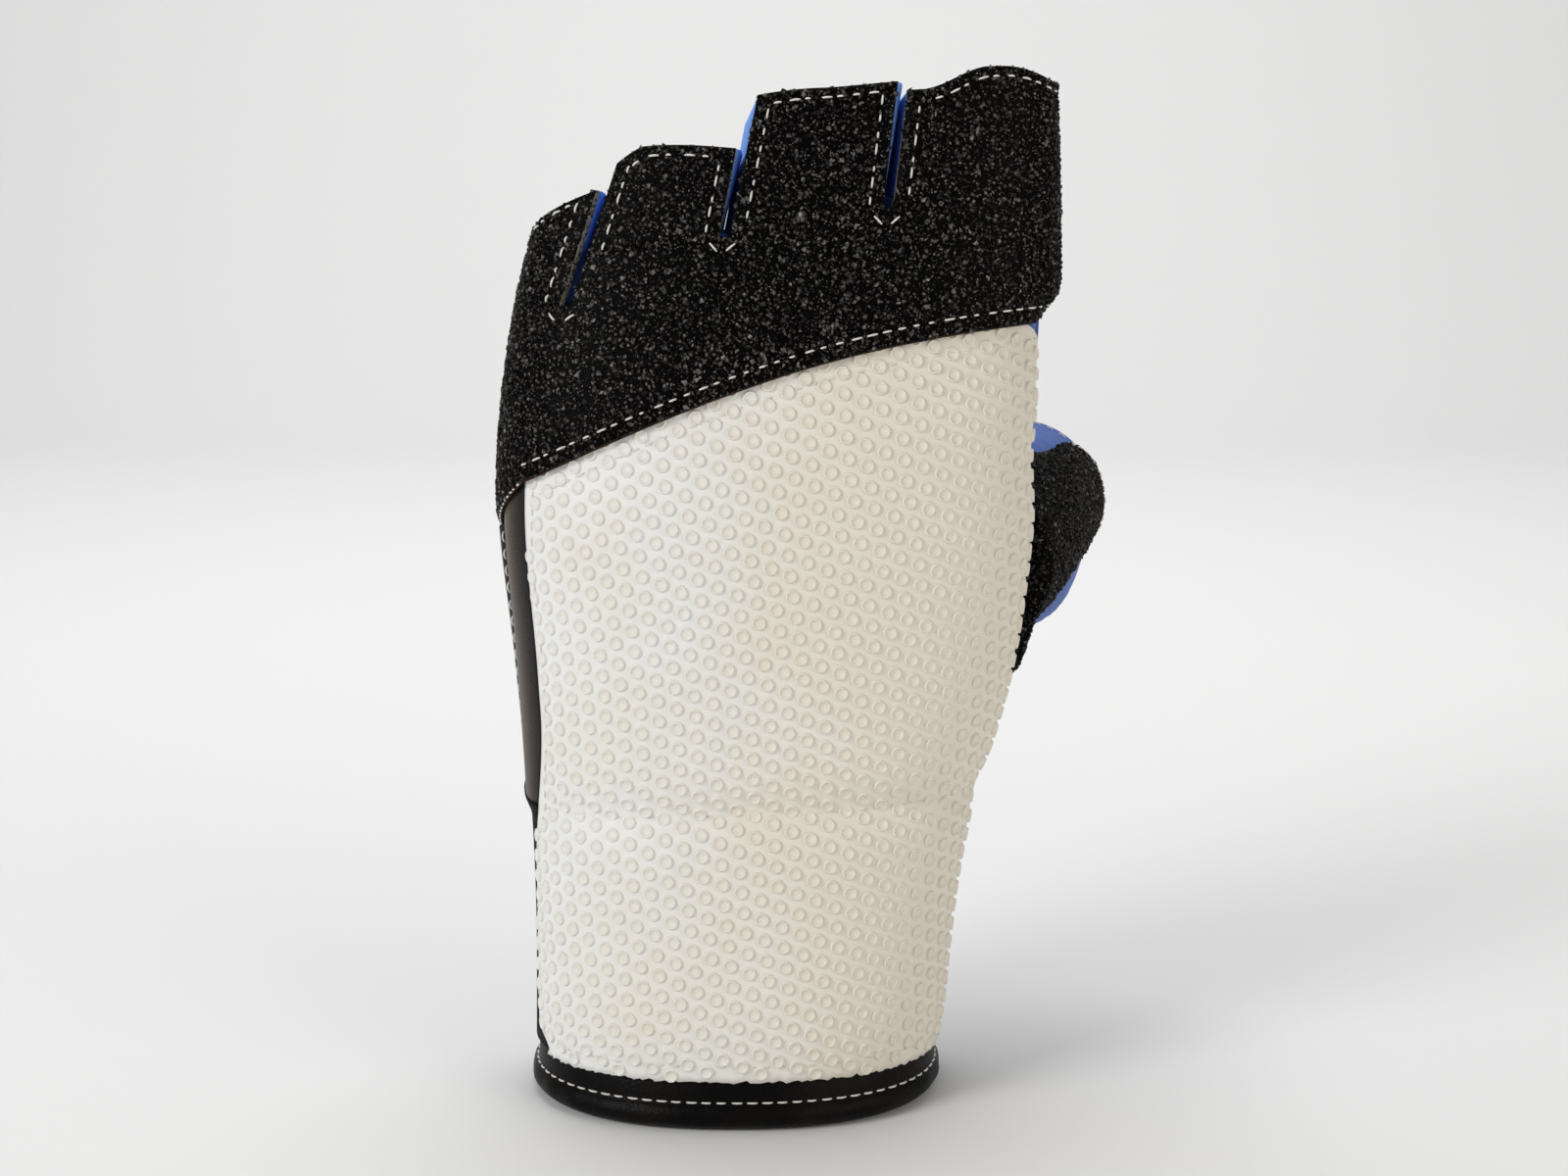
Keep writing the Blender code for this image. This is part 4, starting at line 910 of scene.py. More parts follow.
def grained_leather(name, base, worn, grain_mm, roughness, gloss, clouds):
    """Leather, dyed and plated with a pebbled grain: its second colour shows in random clouds, and where its
    tint paints a sheen.
    """
    made, tree, bsdf, coords = material(name, Roughness=roughness, IOR=1.5, Specular_IOR_Level=gloss)
    cells = node(tree, "ShaderNodeTexVoronoi",
                 {"Vector": coords, "Scale": per_metre(grain_mm), "Randomness": 1.0},
                 feature="DISTANCE_TO_EDGE")
    crease = node(tree, "ShaderNodeMath", {0: cells.outputs[0], 1: 3.2}, operation="MULTIPLY", use_clamp=True)
    cloud = node(tree, "ShaderNodeTexNoise", {"Vector": coords, "Scale": per_metre(14), "Detail": 4.0})
    soft = node(tree, "ShaderNodeMapRange", {0: cloud.outputs[0], 1: 0.42, 2: 0.75, 3: 0.0, 4: clouds})
    tint = node(tree, "ShaderNodeAttribute", attribute_name="tint")
    # Share of the second colour: random clouds, plus the tint, which on the gusset is a painted sheen.
    clouds_and_sheen_share = node(tree, "ShaderNodeMath", {0: soft.outputs[0], 1: tint.outputs["Fac"]},
               operation="ADD", use_clamp=True)
    dyed, sheen_and_clouds = (linear(getattr(colours(), shade)) for shade in (base, worn))
    tree.links.new(mixed(tree, clouds_and_sheen_share.outputs[0], dyed, sheen_and_clouds), bsdf.inputs["Base Color"])
    fine = node(tree, "ShaderNodeTexNoise", {"Vector": coords, "Scale": per_metre(0.35), "Detail": 2.0})
    height = node(tree, "ShaderNodeMath", {0: crease.outputs[0], 1: fine.outputs[0]}, operation="ADD")
    bump = node(tree, "ShaderNodeBump",
                {"Height": height.outputs[0], "Strength": 0.35, "Distance": 0.12 * MM})
    tree.links.new(bump.outputs[0], bsdf.inputs["Normal"])
    return made


def patterned(name, dark, light, pattern, size, inputs, settings, share, relief, shader):
    """Material with one pattern of a size in mm: it mixes two colours, with a relief (strength, mm)."""
    made, tree, bsdf, coords = material(name, **shader)
    drawn = node(tree, pattern, {"Vector": coords, "Scale": per_metre(size), **inputs}, **settings)
    drawn = drawn.outputs["Fac"]
    shade = node(tree, "ShaderNodeMapRange", {0: drawn, 1: share[0], 2: share[1]})
    pale = linear(getattr(colours(), light))
    deep = linear(dark) if dark else pale
    tree.links.new(mixed(tree, shade.outputs[0], deep, pale), bsdf.inputs["Base Color"])
    if relief:
        strength, depth = relief
        bump = node(tree, "ShaderNodeBump", {"Height": drawn, "Strength": strength, "Distance": depth * MM})
        tree.links.new(bump.outputs[0], bsdf.inputs["Normal"])
    return made


# Each row gives the name, the colour and the second colour of its random clouds and its tint (on the gusset a
# painted sheen), the grain in mm, roughness, gloss and clouds.
LEATHERS = {
    "black": ("plated_black_leather", "black", "black_worn", 0.9, 0.40, 0.28, 0.04),
    "roll": ("drummed_black_leather", "roll", "black_worn", 0.9, 0.42, 0.09, 0.03),
    "blue": ("aniline_blue_leather", "blue", "blue_deep", 0.8, 0.55, 0.25, 0.60),
    # Slit walls: a brighter blue, partly the leather's own and partly painted light against the slits' shade.
    "blue_slit": ("brushed_blue_leather_painted_light", "blue_slit", "blue", 0.8, 0.80, 0.10, 0.50),
}
NOISE = "ShaderNodeTexNoise"
WHOLE = (0.0, 1.0)
CUT_EDGE = {"Roughness": 0.9, "Specular_IOR_Level": 0.2}
RIB_WAVE = 7.56  # a wave's ribs lie 0.314 of its size apart
# Each row gives what patterned() takes.
PATTERNED = {
    # Raw edge of cut leather and cloth backing: fibrous and dull, darker where its relief is low, partly the
    # fibres' own tone and partly painted shade in the hollows.
    "edge": ("raw_cut_edge", "#17110C", "edge", NOISE, 0.7, {"Detail": 4.0}, {}, (0.35, 0.65), (0.6, 0.2),
             CUT_EDGE),
    # The same edge, dyed brown.
    "edge_dyed": ("dyed_cut_edge", "#17110C", "edge_dyed", NOISE, 0.7, {"Detail": 4.0}, {}, (0.35, 0.65),
                  (0.6, 0.2), CUT_EDGE),
    # Bonded polyester thread, twisted: near white with a slight sheen, and darker mottling that paints the
    # shade of the twist's grooves, which have no relief.
    "thread": ("twisted_thread", "#C9C6BD", "thread", NOISE, 0.25, {"Detail": 2.0}, {}, WHOLE, None,
               {"Roughness": 0.55, "Specular_IOR_Level": 0.35}),
    # Elastic webbing, woven in ribs 2.4 mm apart across its stretch: dull, darker where its relief is low,
    # partly the weave's own tone and partly painted shade in the grooves.
    "elastic": ("woven_elastic", "#0C0C0D", "elastic", "ShaderNodeTexWave", RIB_WAVE, {"Distortion": 0.4},
                {"bands_direction": "Z"}, WHOLE, (0.7, 0.25), {"Roughness": 0.85, "Specular_IOR_Level": 0.2}),
    # Brushed polyester lining over foam: soft, matt, with a short nap that shows as mottling.
    "lining": ("brushed_lining", "#1E1E21", "lining", NOISE, 1.1, {"Detail": 5.0}, {}, WHOLE, (0.5, 0.3),
               {"Roughness": 0.95, "Sheen_Weight": 0.3, "Sheen_Roughness": 0.5}),
    # Matt studio paper: pale, even grey with a faint tooth.
    "paper": ("paper_backdrop", None, "paper", NOISE, 1.5, {"Detail": 2.0}, {}, WHOLE, (0.03, 0.1),
              {"Roughness": 0.95, "Specular_IOR_Level": 0.05}),
}
RUBBERS = {"pimple": moulded_pimple_rubber, "crumb": bonded_crumb_rubber}
MADE_FINISHES = {}


def finish(name):
    """The named finish, made once."""
    if name not in MADE_FINISHES:
        if name in RUBBERS:
            MADE_FINISHES[name] = RUBBERS[name]()
        elif name in LEATHERS:
            MADE_FINISHES[name] = grained_leather(*LEATHERS[name])
        else:
            MADE_FINISHES[name] = patterned(*PATTERNED[name])
    return MADE_FINISHES[name]


class GLOVE_OT_back(bpy.types.Operator):
    """Adds the white pimple-rubber back, its padding and the pad behind the knuckles"""

    bl_idname = "glove.add_back"
    bl_label = "Padded back"

    def execute(self, context):
        p = panels()
        _, _, outer = white_grid(np.linspace(0, 1, 96), 120, 0.0)
        parts = [sheet(outer, p.rubber), pimples(*self.lattice())]
        white = add_piece("white_back", parts, ["pimple"],
                          ("cuff_grip_panel", "hand_grip_panel"))
        fold_wrist(white)
        fold_wrist(self.padding())
        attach(self.knuckle_padding(), "hand")
        return {"FINISHED"}

    def lattice(self):
        """Frames of the pimples: a hexagonal lattice in arc length and height, kept inside the panel."""
        p = panels()
        d = detail()
        most, half_width = 45, 0.075  # lattice steps each way from the middle, and metres
        edge_gap, foot_gap, lap = 1.3 * MM, 0.9 * MM, 1.5 * MM
        count = np.arange(-most, most + 1)
        i, j = [a.ravel() for a in np.meshgrid(count, count, indexing="ij")]
        first = np.array([cos(d.lattice), sin(d.lattice)]) * d.pitch
        second = np.array([cos(d.lattice + radians(60)), sin(d.lattice + radians(60))]) * d.pitch
        s = first[0] * i + second[0] * j
        z = first[1] * i + second[1] * j + p.seam_height
        top = loft_sizes().heights[KNUCKLE]
        keep = (np.abs(s) < half_width) & (z > p.binding_height - p.overlap) & (z < top)
        s, z = s[keep], z[keep]
        samples = 240
        phi = np.linspace(radians(-179), radians(-1), samples)[None, :]
        line = white_point(phi, z[:, None])
        steps = np.linalg.norm(np.diff(line, axis=1), axis=2)
        run = np.concatenate([np.zeros((len(z), 1)), np.cumsum(steps, axis=1)], axis=1)
        run -= run[:, samples // 2, None]
        k = np.clip((run < s[:, None]).sum(axis=1), 1, samples - 1)
        rows = np.arange(len(z))
        share = (s - run[rows, k - 1]) / (run[rows, k] - run[rows, k - 1])
        angle = phi[0, k - 1] + (phi[0, k] - phi[0, k - 1]) * share
        margin = edge_gap / loft_sizes().back[WRIST]
        keep = (angle > panel_left(z) + margin) & (angle < panel_right(z) - margin)
        keep &= (share >= 0) & (share <= 1)
        keep &= (z > p.binding_height + foot_gap - p.overlap) & (z < grit_edge(angle) + lap)
        return surface_frame(white_point, angle[keep], z[keep])

    def padding(self):
        """Foam and lining behind the white rubber: thick in the middle, drawn in at the edges and seam."""
        p = panels()
        v, u = spans(64, 48)
        depth = p.rubber + p.clearance
        edge_share, channel_depth = 0.35, 0.5  # of the foam's thickness
        phi, z, outer = white_grid(v[:, 0], u.size, depth, inset=3 * MM, foot_gap=2 * MM, top_gap=3 * MM)
        drawn = np.clip(np.minimum(np.minimum(u, 1 - u) * 9, np.minimum(v, 1 - v) * 14), 0, 1)
        channel = np.exp(-((z - seam_height(phi)) / (0.5 * p.seam_width)) ** 2)
        swell = edge_share + (1 - edge_share) * np.sqrt(drawn * (2 - drawn))
        thick = p.foam * swell * (1 - channel_depth * channel)
        inner = skin(phi, z, white_lift(phi, z) * (1 - drawn) - depth - thick)
        pad = add_piece("back_padding", [layer(outer, inner)], ["lining"],
                        ("cuff_foam", "hand_foam", "cuff_lining", "hand_lining"))
        return pad

    def knuckle_padding(self):
        """Leather backing and foam behind the crumb rubber, drawn in round its edge."""
        p = panels()
        foot_gap, top_gap, swell = 0.6 * MM, 0.2 * MM, 3.5 * MM
        columns, top = hand_edge(BACK, 14)
        foot = grit_edge(columns) + p.tuck + foot_gap
        v, u = spans(30, len(columns))
        z = foot * (1 - v) + (top - top_gap) * v
        drawn = np.clip(np.minimum(np.minimum(u, 1 - u) * 12, np.minimum(v, 1 - v) * 8), 0, 1)
        thick = p.rubber + swell * np.sqrt(drawn * (2 - drawn))
        part = layer(skin(columns, z), skin(columns, z, -thick))
        pad = add_piece("knuckle_padding", [part], ["lining"], ("knuckle_backing", "knuckle_foam"))
        return pad


class GLOVE_OT_grip(bpy.types.Operator):
    """Adds the crumb-rubber panels of the knuckles, fingers, palm and thumb"""

    bl_idname = "glove.add_grip"
    bl_label = "Crumb-rubber grip"

    def panel(self, name, points, thickness, seed, node_name, rim="edge_dyed", bare=0, shade=1.0):
        """Crumb-rubber sheet: cloth behind, a cut rim, and crumbs above the bare rows at its foot."""
        part = sheet(points, thickness, (0, 1, 2))
        front, cut = part["faces"][0][0], bare * (points.shape[1] - 1)
        part["faces"][0] = (front[cut:], 0, True)
        part["faces"].append((front[:cut], 2, True))
        parts = [part, crumbs(points[bare:], seed, shade)]
        return add_piece(name, parts, ["crumb", "lining", rim], (node_name,))

    def execute(self, context):
        p = panels()
        lift = p.clearance + p.grit - CRUMB_SINK
        self.knuckles(lift)
        for finger in fingers():
            self.finger(finger, lift - 0.05 * MM)
        proud = p.clearance + p.rubber - CRUMB_SINK
        self.palm(proud)
        self.tail()
        self.thumb(proud)
        return {"FINISHED"}

    def knuckles(self, lift):
        """Knuckle panel from its skived foot, which is cut off on the thumb side, up to the stalls' roots."""
        p = panels()
        cut_width, skive_depth, skive_width = radians(16), 0.9 * MM, 1.2 * MM
        columns, top = hand_edge(BACK, 26)
        v = np.linspace(0, 1, 44)[:, None] ** 1.4
        cut = np.clip(1 + (columns - p.right_edge) / cut_width, 0, 1)
        foot = grit_edge(columns) + p.corner_cut * cut ** 1.3
        z = foot * (1 - v) + top * v
        skived = skive_depth * np.exp(-(z - foot) / skive_width)
        thickness = p.grit - CRUMB_GAP - skived[..., None]
        knuckle = self.panel("knuckle_crumb", skin(columns, z, lift - skived), thickness, 11,
                             "knuckle_grip_panel", bare=2)
        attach(knuckle, "hand")

    def finger(self, finger, lift):
        """Back of a stall, which laps a little under the knuckle panel."""
        lap = 0.5 * MM
        phi, z = finger.grid(BACK, 26, 34)
        z[0] -= lap
        back = self.panel(finger.name + "_crumb", skin(phi, z, lift), panels().grit - CRUMB_GAP,
                          20 + finger.number, finger.name + "_back_grip", "edge")
        fold_finger(back, finger)

    def palm(self, proud):
        """Patch on the palm: level at its top, with a round foot."""
        p = panels()
        t = np.linspace(0, 1, 60)
        v = np.linspace(0, 1, 44)[:, None]
        columns = p.palm_patch[0] + (p.palm_patch[1] - p.palm_patch[0]) * t
        foot = seam_height(columns) + p.palm_patch_foot - p.palm_patch_round * np.sin(np.pi * t)
        z = foot * (1 - v) + (loft_sizes().heights[KNUCKLE] - p.palm_patch_top) * v
        patch = self.panel("palm_crumb", skin(columns, z, proud), p.rubber - CRUMB_GAP, 31, "palm_grip_patch")
        fold_wrist(patch)

    def tail(self):
        """Tail on the thumb's heel: it thins out to its front edge and foot, and ends under the thumb."""
        p = panels()
        loft = loft_sizes()
        gap = 1.2 * MM / loft.back[WRIST]
        t = np.linspace(0, 1, 16) ** 1.5
        columns = p.right_edge + gap + p.tail_angle * t
        foot = loft.heights[PALM] - p.tail_foot - p.tail_slope * t
        start, along, across, _ = thumb_axes()
        aside = skin(columns, foot) - start
        reach = thumb_radius(aside @ along) - 2 * p.leather
        top = start[2] - np.sqrt(np.maximum(reach ** 2 - (aside @ across) ** 2, 0))
        v = np.linspace(0, 1, 14)[:, None]
        thinned = p.rubber - 2 * CRUMB_SINK
        rise = (thinned + p.tail_swell * v) * np.clip(t / 0.05, 0.02, 1) * np.clip(v * 6, 0.1, 1)
        points = skin(columns, foot * (1 - v) + top * v, p.clearance + rise)
        fold_wrist(self.panel("heel_crumb", points, rise[..., None], 32, "thenar_grip_patch", "crumb"))

    def thumb(self, proud):
        """Patch round the thumb: wide at its root, with a round end and a flange on the hand."""
        p = panels()
        s = stalls()
        u = np.linspace(1, -1, 44)
        v = np.linspace(0, 1, 44)[:, None]
        low = s.thumb_patch_low[0] + (s.thumb_patch_low[1] - s.thumb_patch_low[0]) * (1 - v) ** 3
        spread = np.where(u > 0, s.thumb_patch[1] * (1 + s.thumb_patch_flare * (1 - v) ** 2), low)
        angle = s.thumb_patch[0] + spread * u
        root = thumb_root(angle, 0, THUMB_CLEAR)
        end = s.thumb_length - THUMB_HEM - s.thumb_patch_round * u ** 4
        points = thumb_point(angle, root + (end - root) * v, proud)
        points = np.concatenate([sunk(points[:1], p.clearance), points])
        # shade 0.65 dims the thumb patch's pale crumb corners: painted shade.
        patch = self.panel("thumb_crumb", points, p.rubber - CRUMB_GAP, 33, "thumb_grip_patch", "crumb",
                           shade=0.65)
        fold_thumb(patch)


class GLOVE_OT_leather(bpy.types.Operator):
    """Adds the palm, the palm side of the cuff, the gusset, the raised seam and the elastic"""

    bl_idname = "glove.add_leather"
    bl_label = "Leather and elastic"

    def execute(self, context):
        p = panels()
        end = FULL_TURN + p.side_seam - p.elastic_angle
        self.palm()
        self.cuff(end)
        self.elastic(end - FULL_TURN)
        self.gusset()
        self.welt()
        return {"FINISHED"}

    def cuff(self, end):
        """Palm side of the cuff, from the white panel's edge round to the elastic."""
        p = panels()
        gap = 0.6 * MM / loft_sizes().back[WRIST]
        columns = np.linspace(p.right_edge + gap, end, 70)
        v = np.linspace(0, 1, 34)[:, None]
        z = p.binding_height + (seam_height(columns) - p.binding_height) * v
        part = sheet(skin(columns, z), p.leather)
        fold_wrist(add_piece("cuff_palm", [part], ["black"], ("cuff_palm_leather",)))

    def palm(self):
        """Palm leather up to the stalls' roots, open for the thumb, and a gore at the panel's corner."""
        p = panels()
        behind_edge = 3 * MM  # how far behind the white panel's edge the thumb's hole starts
        gore_foot, gore_depth, gore_thickness = 4 * MM, 0.4 * MM, 0.8 * MM
        columns, top = hand_edge(INNER, 26)
        foot = seam_height(columns)
        v = np.linspace(0, 1, 80)[:, None]
        part = sheet(skin(columns, foot * (1 - v) + top * v), p.leather)
        start, along, across, up = thumb_axes()
        centre = part["points"] - start
        aside = np.hypot(centre @ across, centre @ up)
        hole = (aside < stalls().thumb_radii[0] - 2 * p.leather) & (centre @ along > 0)
        hole &= part["points"][:, 1] > skin(p.right_edge, part["points"][:, 2])[:, 1] + behind_edge
        part["faces"] = [(f[~hole[f].all(axis=1)], number, soft) for f, number, soft in part["faces"]]
        phi = np.linspace(p.right_edge - p.round_off, p.right_edge, 12)
        edge = grit_edge(p.right_edge)
        rise = np.linspace(-gore_foot, 2 * p.tuck, 14)[:, None]
        gore = sheet(skin(phi, edge + rise, -gore_depth), gore_thickness)
        fold_wrist(add_piece("palm", [part, gore], ["blue"], ("palm_leather",)))

    def elastic(self, start):
        """Elastic insert on the outer side of the cuff, drawn in slightly between its seams."""
        p = panels()
        v, u = spans(60, 26)
        past_seam, lap_height, lap_lift, lap_swell = 5 * MM, 3 * MM, 0.4 * MM, 1.0 * MM
        drawn_in = 0.5 * MM
        seam = seam_height(p.side_seam)
        z = p.binding_height + (seam + past_seam * (1 - u) - p.binding_height) * v
        phi = start + (panel_left(z) - start) * u
        lap = np.clip((z - seam + lap_height) / lap_height, 0, 1)
        drawn = -drawn_in * np.sin(np.pi * u) * np.sin(np.pi * v) * (1 - lap)
        drawn = drawn + lap * (lap_lift + lap_swell * np.sin(np.pi * u))
        points = skin(phi, z, drawn)
        piece = add_piece("elastic", [sheet(points, p.leather)], ["elastic"], ("elastic_insert",))
        fold_wrist(piece)

    def gusset(self):
        """Gusset that swells between its seams, with a painted sheen down its middle."""
        p = panels()
        v, u = spans(90, 22)
        swell, sheen_and_clouds = 0.9 * MM, 0.47  # share of the paler colour in the painted sheen down the middle
        foot = seam_height(p.side_seam)
        phi = p.side_seam + (p.grit_left - p.side_seam) * u + 0 * v
        for _ in range(SETTLING_ROUNDS):
            z = foot + (grit_edge(phi) + p.tuck - foot) * v
            phi = p.side_seam + (panel_left(z) - p.side_seam) * u
        part = sheet(skin(phi, z, swell * np.sin(np.pi * u)), p.leather)
        # Painted sheen: the tint mixes the paler black leather colour down the gusset's middle in place of
        # the light's reflection.
        part["tint"] = np.tile(sheen_and_clouds * np.broadcast_to(np.sin(np.pi * u) ** 2, z.shape).ravel(), 2)
        fold_wrist(add_piece("gusset", [part], ["black"], ("outer_gusset",)))

    def welt(self):
        """Half-round welt of the outer seam, which tapers towards its foot."""
        p = panels()
        half_width, top_gap, outside, inside = 1.7 * MM, 0.15 * MM, 0.1 * MM, 0.05 * MM
        foot = seam_height(p.side_seam)
        v = np.linspace(0, 1, 90)[:, None]
        angle = np.linspace(pi, 0, 13)[None, :]
        half = half_width / loft_sizes().back[WRIST]
        columns = p.side_seam + half + half * np.cos(angle)
        z = foot + (grit_edge(columns) - top_gap - foot) * v
        outer = skin(columns, z, outside + p.welt * v ** WELT_TAPER * np.sin(angle) ** 0.7)
        part = layer(outer, skin(columns, z, inside))
        fold_wrist(add_piece("outer_welt", [part], ["black"], ("outer_seam_welt",)))


class GLOVE_OT_stalls(bpy.types.Operator):
    """Adds the blue leather of the four finger stalls and the thumb stall"""

    bl_idname = "glove.add_stalls"
    bl_label = "Finger and thumb stalls"

    def execute(self, context):
        for finger in fingers():
            fold_finger(self.stall(finger), finger)
        fold_thumb(self.thumb())
        return {"FINISHED"}

    def wall(self, finger, side, rows, cols):
        """Side of a stall: flat between the edges of a slit, or round the loft on an outer side."""
        s = stalls()
        v, u = spans(rows, cols)
        root, top = finger.root[side], finger.top[side]
        cut = finger.cut * (1 - u) ** 2 if side == 0 else 0
        z = root + (top - s.palm_drop * u ** 8 - cut - root) * v
        if finger.slits[side] is None:
            back = float(finger.edge(side, np.array([root]), BACK)[0])
            palm = float(finger.edge(side, np.array([root]), INNER)[0]) - (FULL_TURN if side == 0 else 0)
            return skin(back * (1 - u) + palm * u, z)
        backs = skin(finger.edge(side, z[:, :1], BACK, s.wall_inset), z[:, :1], s.wall_front[side])
        palms = skin(finger.edge(side, z[:, -1:], INNER), z[:, -1:], -0.2 * MM)
        points = backs * (1 - u[..., None]) + palms * u[..., None]
        points[..., 0] += s.wall_swell[side] * (0.3 + 0.7 * v) * np.sin(np.pi * u ** 0.45)
        return points

    def stall(self, finger):
        """Leather trough of a stall: left wall, palm side and right wall in one sheet."""
        rows, cols = 26, 16
        left = self.wall(finger, 0, rows, cols)
        right = self.wall(finger, 1, rows, cols)
        palm = skin(*finger.grid(INNER, rows, 30))
        trough = np.concatenate([right[:, :-1], palm, left[:, ::-1][:, 1:]], axis=1)
        part = sheet(trough, panels().leather, (0, 0, 1))
        outside = part["faces"][0][0]
        # Faces inside the slits take the brighter slit blue: partly a brighter leather, partly painted light
        # against the slits' shade.
        column = np.arange(len(outside)) % (trough.shape[1] - 1)
        slit = (column < cols - 1) & (finger.slits[1] is not None)
        slit |= (column > trough.shape[1] - 1 - cols) & (finger.slits[0] is not None)
        part["faces"][0] = (outside[~slit], 0, True)
        part["faces"].append((outside[slit], 2, True))
        names = [finger.name + end for end in ("_palm_leather", "_left_wall", "_right_wall")]
        return add_piece(finger.name + "_stall", [part], ["blue", "edge", "blue_slit"],
                         names)

    def thumb(self):
        """Leather tube of the thumb: creases at its root, a puff below its patch and a hem at its mouth."""
        p = panels()
        s = stalls()
        theta = np.linspace(FULL_TURN, 0, 84, endpoint=False)
        v = np.linspace(0, 1, 70)[:, None]
        crease_height, crease_reach = 0.35 * MM, 14 * MM
        hem_height, hem_middle, hem_width = 0.35 * MM, 1.5 * MM, 1.6 * MM
        puff_height, puff_sharpness = 3.2 * MM, 14
        root = thumb_root(theta, 0, THUMB_CLEAR)
        along = root + (s.thumb_length - root) * v
        crease = crease_height * np.sin(along / MM * 0.9 + 2 * np.sin(theta))
        crease = crease * np.exp(-(along - root) / crease_reach)
        hem = hem_height * np.exp(-((s.thumb_length - along - hem_middle) / hem_width) ** 2)
        puff = puff_height * np.exp(puff_sharpness * (np.cos(theta - s.thumb_puff) - 1)) * np.sin(np.pi * v)
        points = thumb_point(theta, along, crease * np.clip(v * 6, 0, 1) + hem + puff)
        points = np.concatenate([sunk(points[:1], -0.7 * MM), points])
        tube = sheet(points, p.leather, (0, 0, 1), wrap=True)
        return add_piece("thumb_stall_leather", [tube], ["blue", "edge"],
                         ("thumb_stall",))


class GLOVE_OT_binding(bpy.types.Operator):
    """Adds the rolled leather binding of the cuff"""

    bl_idname = "glove.add_binding"
    bl_label = "Rolled binding"

    def execute(self, context):
        """Closed profile carried round the hem: flat above the stitches, a full roll below them.

        A profile's point is how far it stands out from the loft, and its height.
        """
        p = panels()
        r, q, depth = 0.8 * p.binding_corner, p.binding_inner, p.binding_depth
        quarter = np.linspace(0, pi / 2, 9)
        high = p.binding_height
        bulge = p.binding_bulge
        seam = p.binding_seam
        outside = [(-1.2 * MM, high + 0.6 * MM), (-0.9 * MM, high), (-0.6 * MM, seam + 1.5 * MM),
                   (-0.45 * MM, seam + 0.4 * MM), (-0.45 * MM, seam - 0.1 * MM), (0.1 * MM, seam - 0.6 * MM),
                   (0.55 * MM, seam - 1.2 * MM), (bulge - 0.1 * MM, r + 0.5 * MM)]
        roll = [(-r + (r + bulge) * cos(a), r - r * sin(a)) for a in quarter]
        inside = [(-depth + q - q * sin(a), q - q * cos(a)) for a in quarter]
        profile = np.array(outside + roll + inside + [(-depth, 5 * MM), (-depth, high - 0.3 * MM),
                                                      (-depth + 0.4 * MM, high)])[::-1]
        phi = np.linspace(0, FULL_TURN, 220, endpoint=False)[None, :]
        ripple = 0.10 * MM * np.sin(23 * phi + 1.3 * np.sin(5 * phi)) * (profile[:, :1] > 0.3 * MM)
        points = skin(phi, profile[:, 1:], profile[:, :1] + ripple)
        rows, cols = points.shape[:2]
        ring = np.concatenate([quads(rows, cols, wrap=True),
                               np.stack([(rows - 1) * cols + np.arange(cols),
                                         (rows - 1) * cols + np.roll(np.arange(cols), -1),
                                         np.roll(np.arange(cols), -1), np.arange(cols)], -1)])
        part = {"points": points.reshape(-1, 3), "faces": [(ring, 0, True)], "tint": 0.0}
        piece = add_piece("rolled_binding", [part], ["roll"],
                          ("cuff_binding", "binding_core"))
        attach(piece, "cuff")
        return {"FINISHED"}


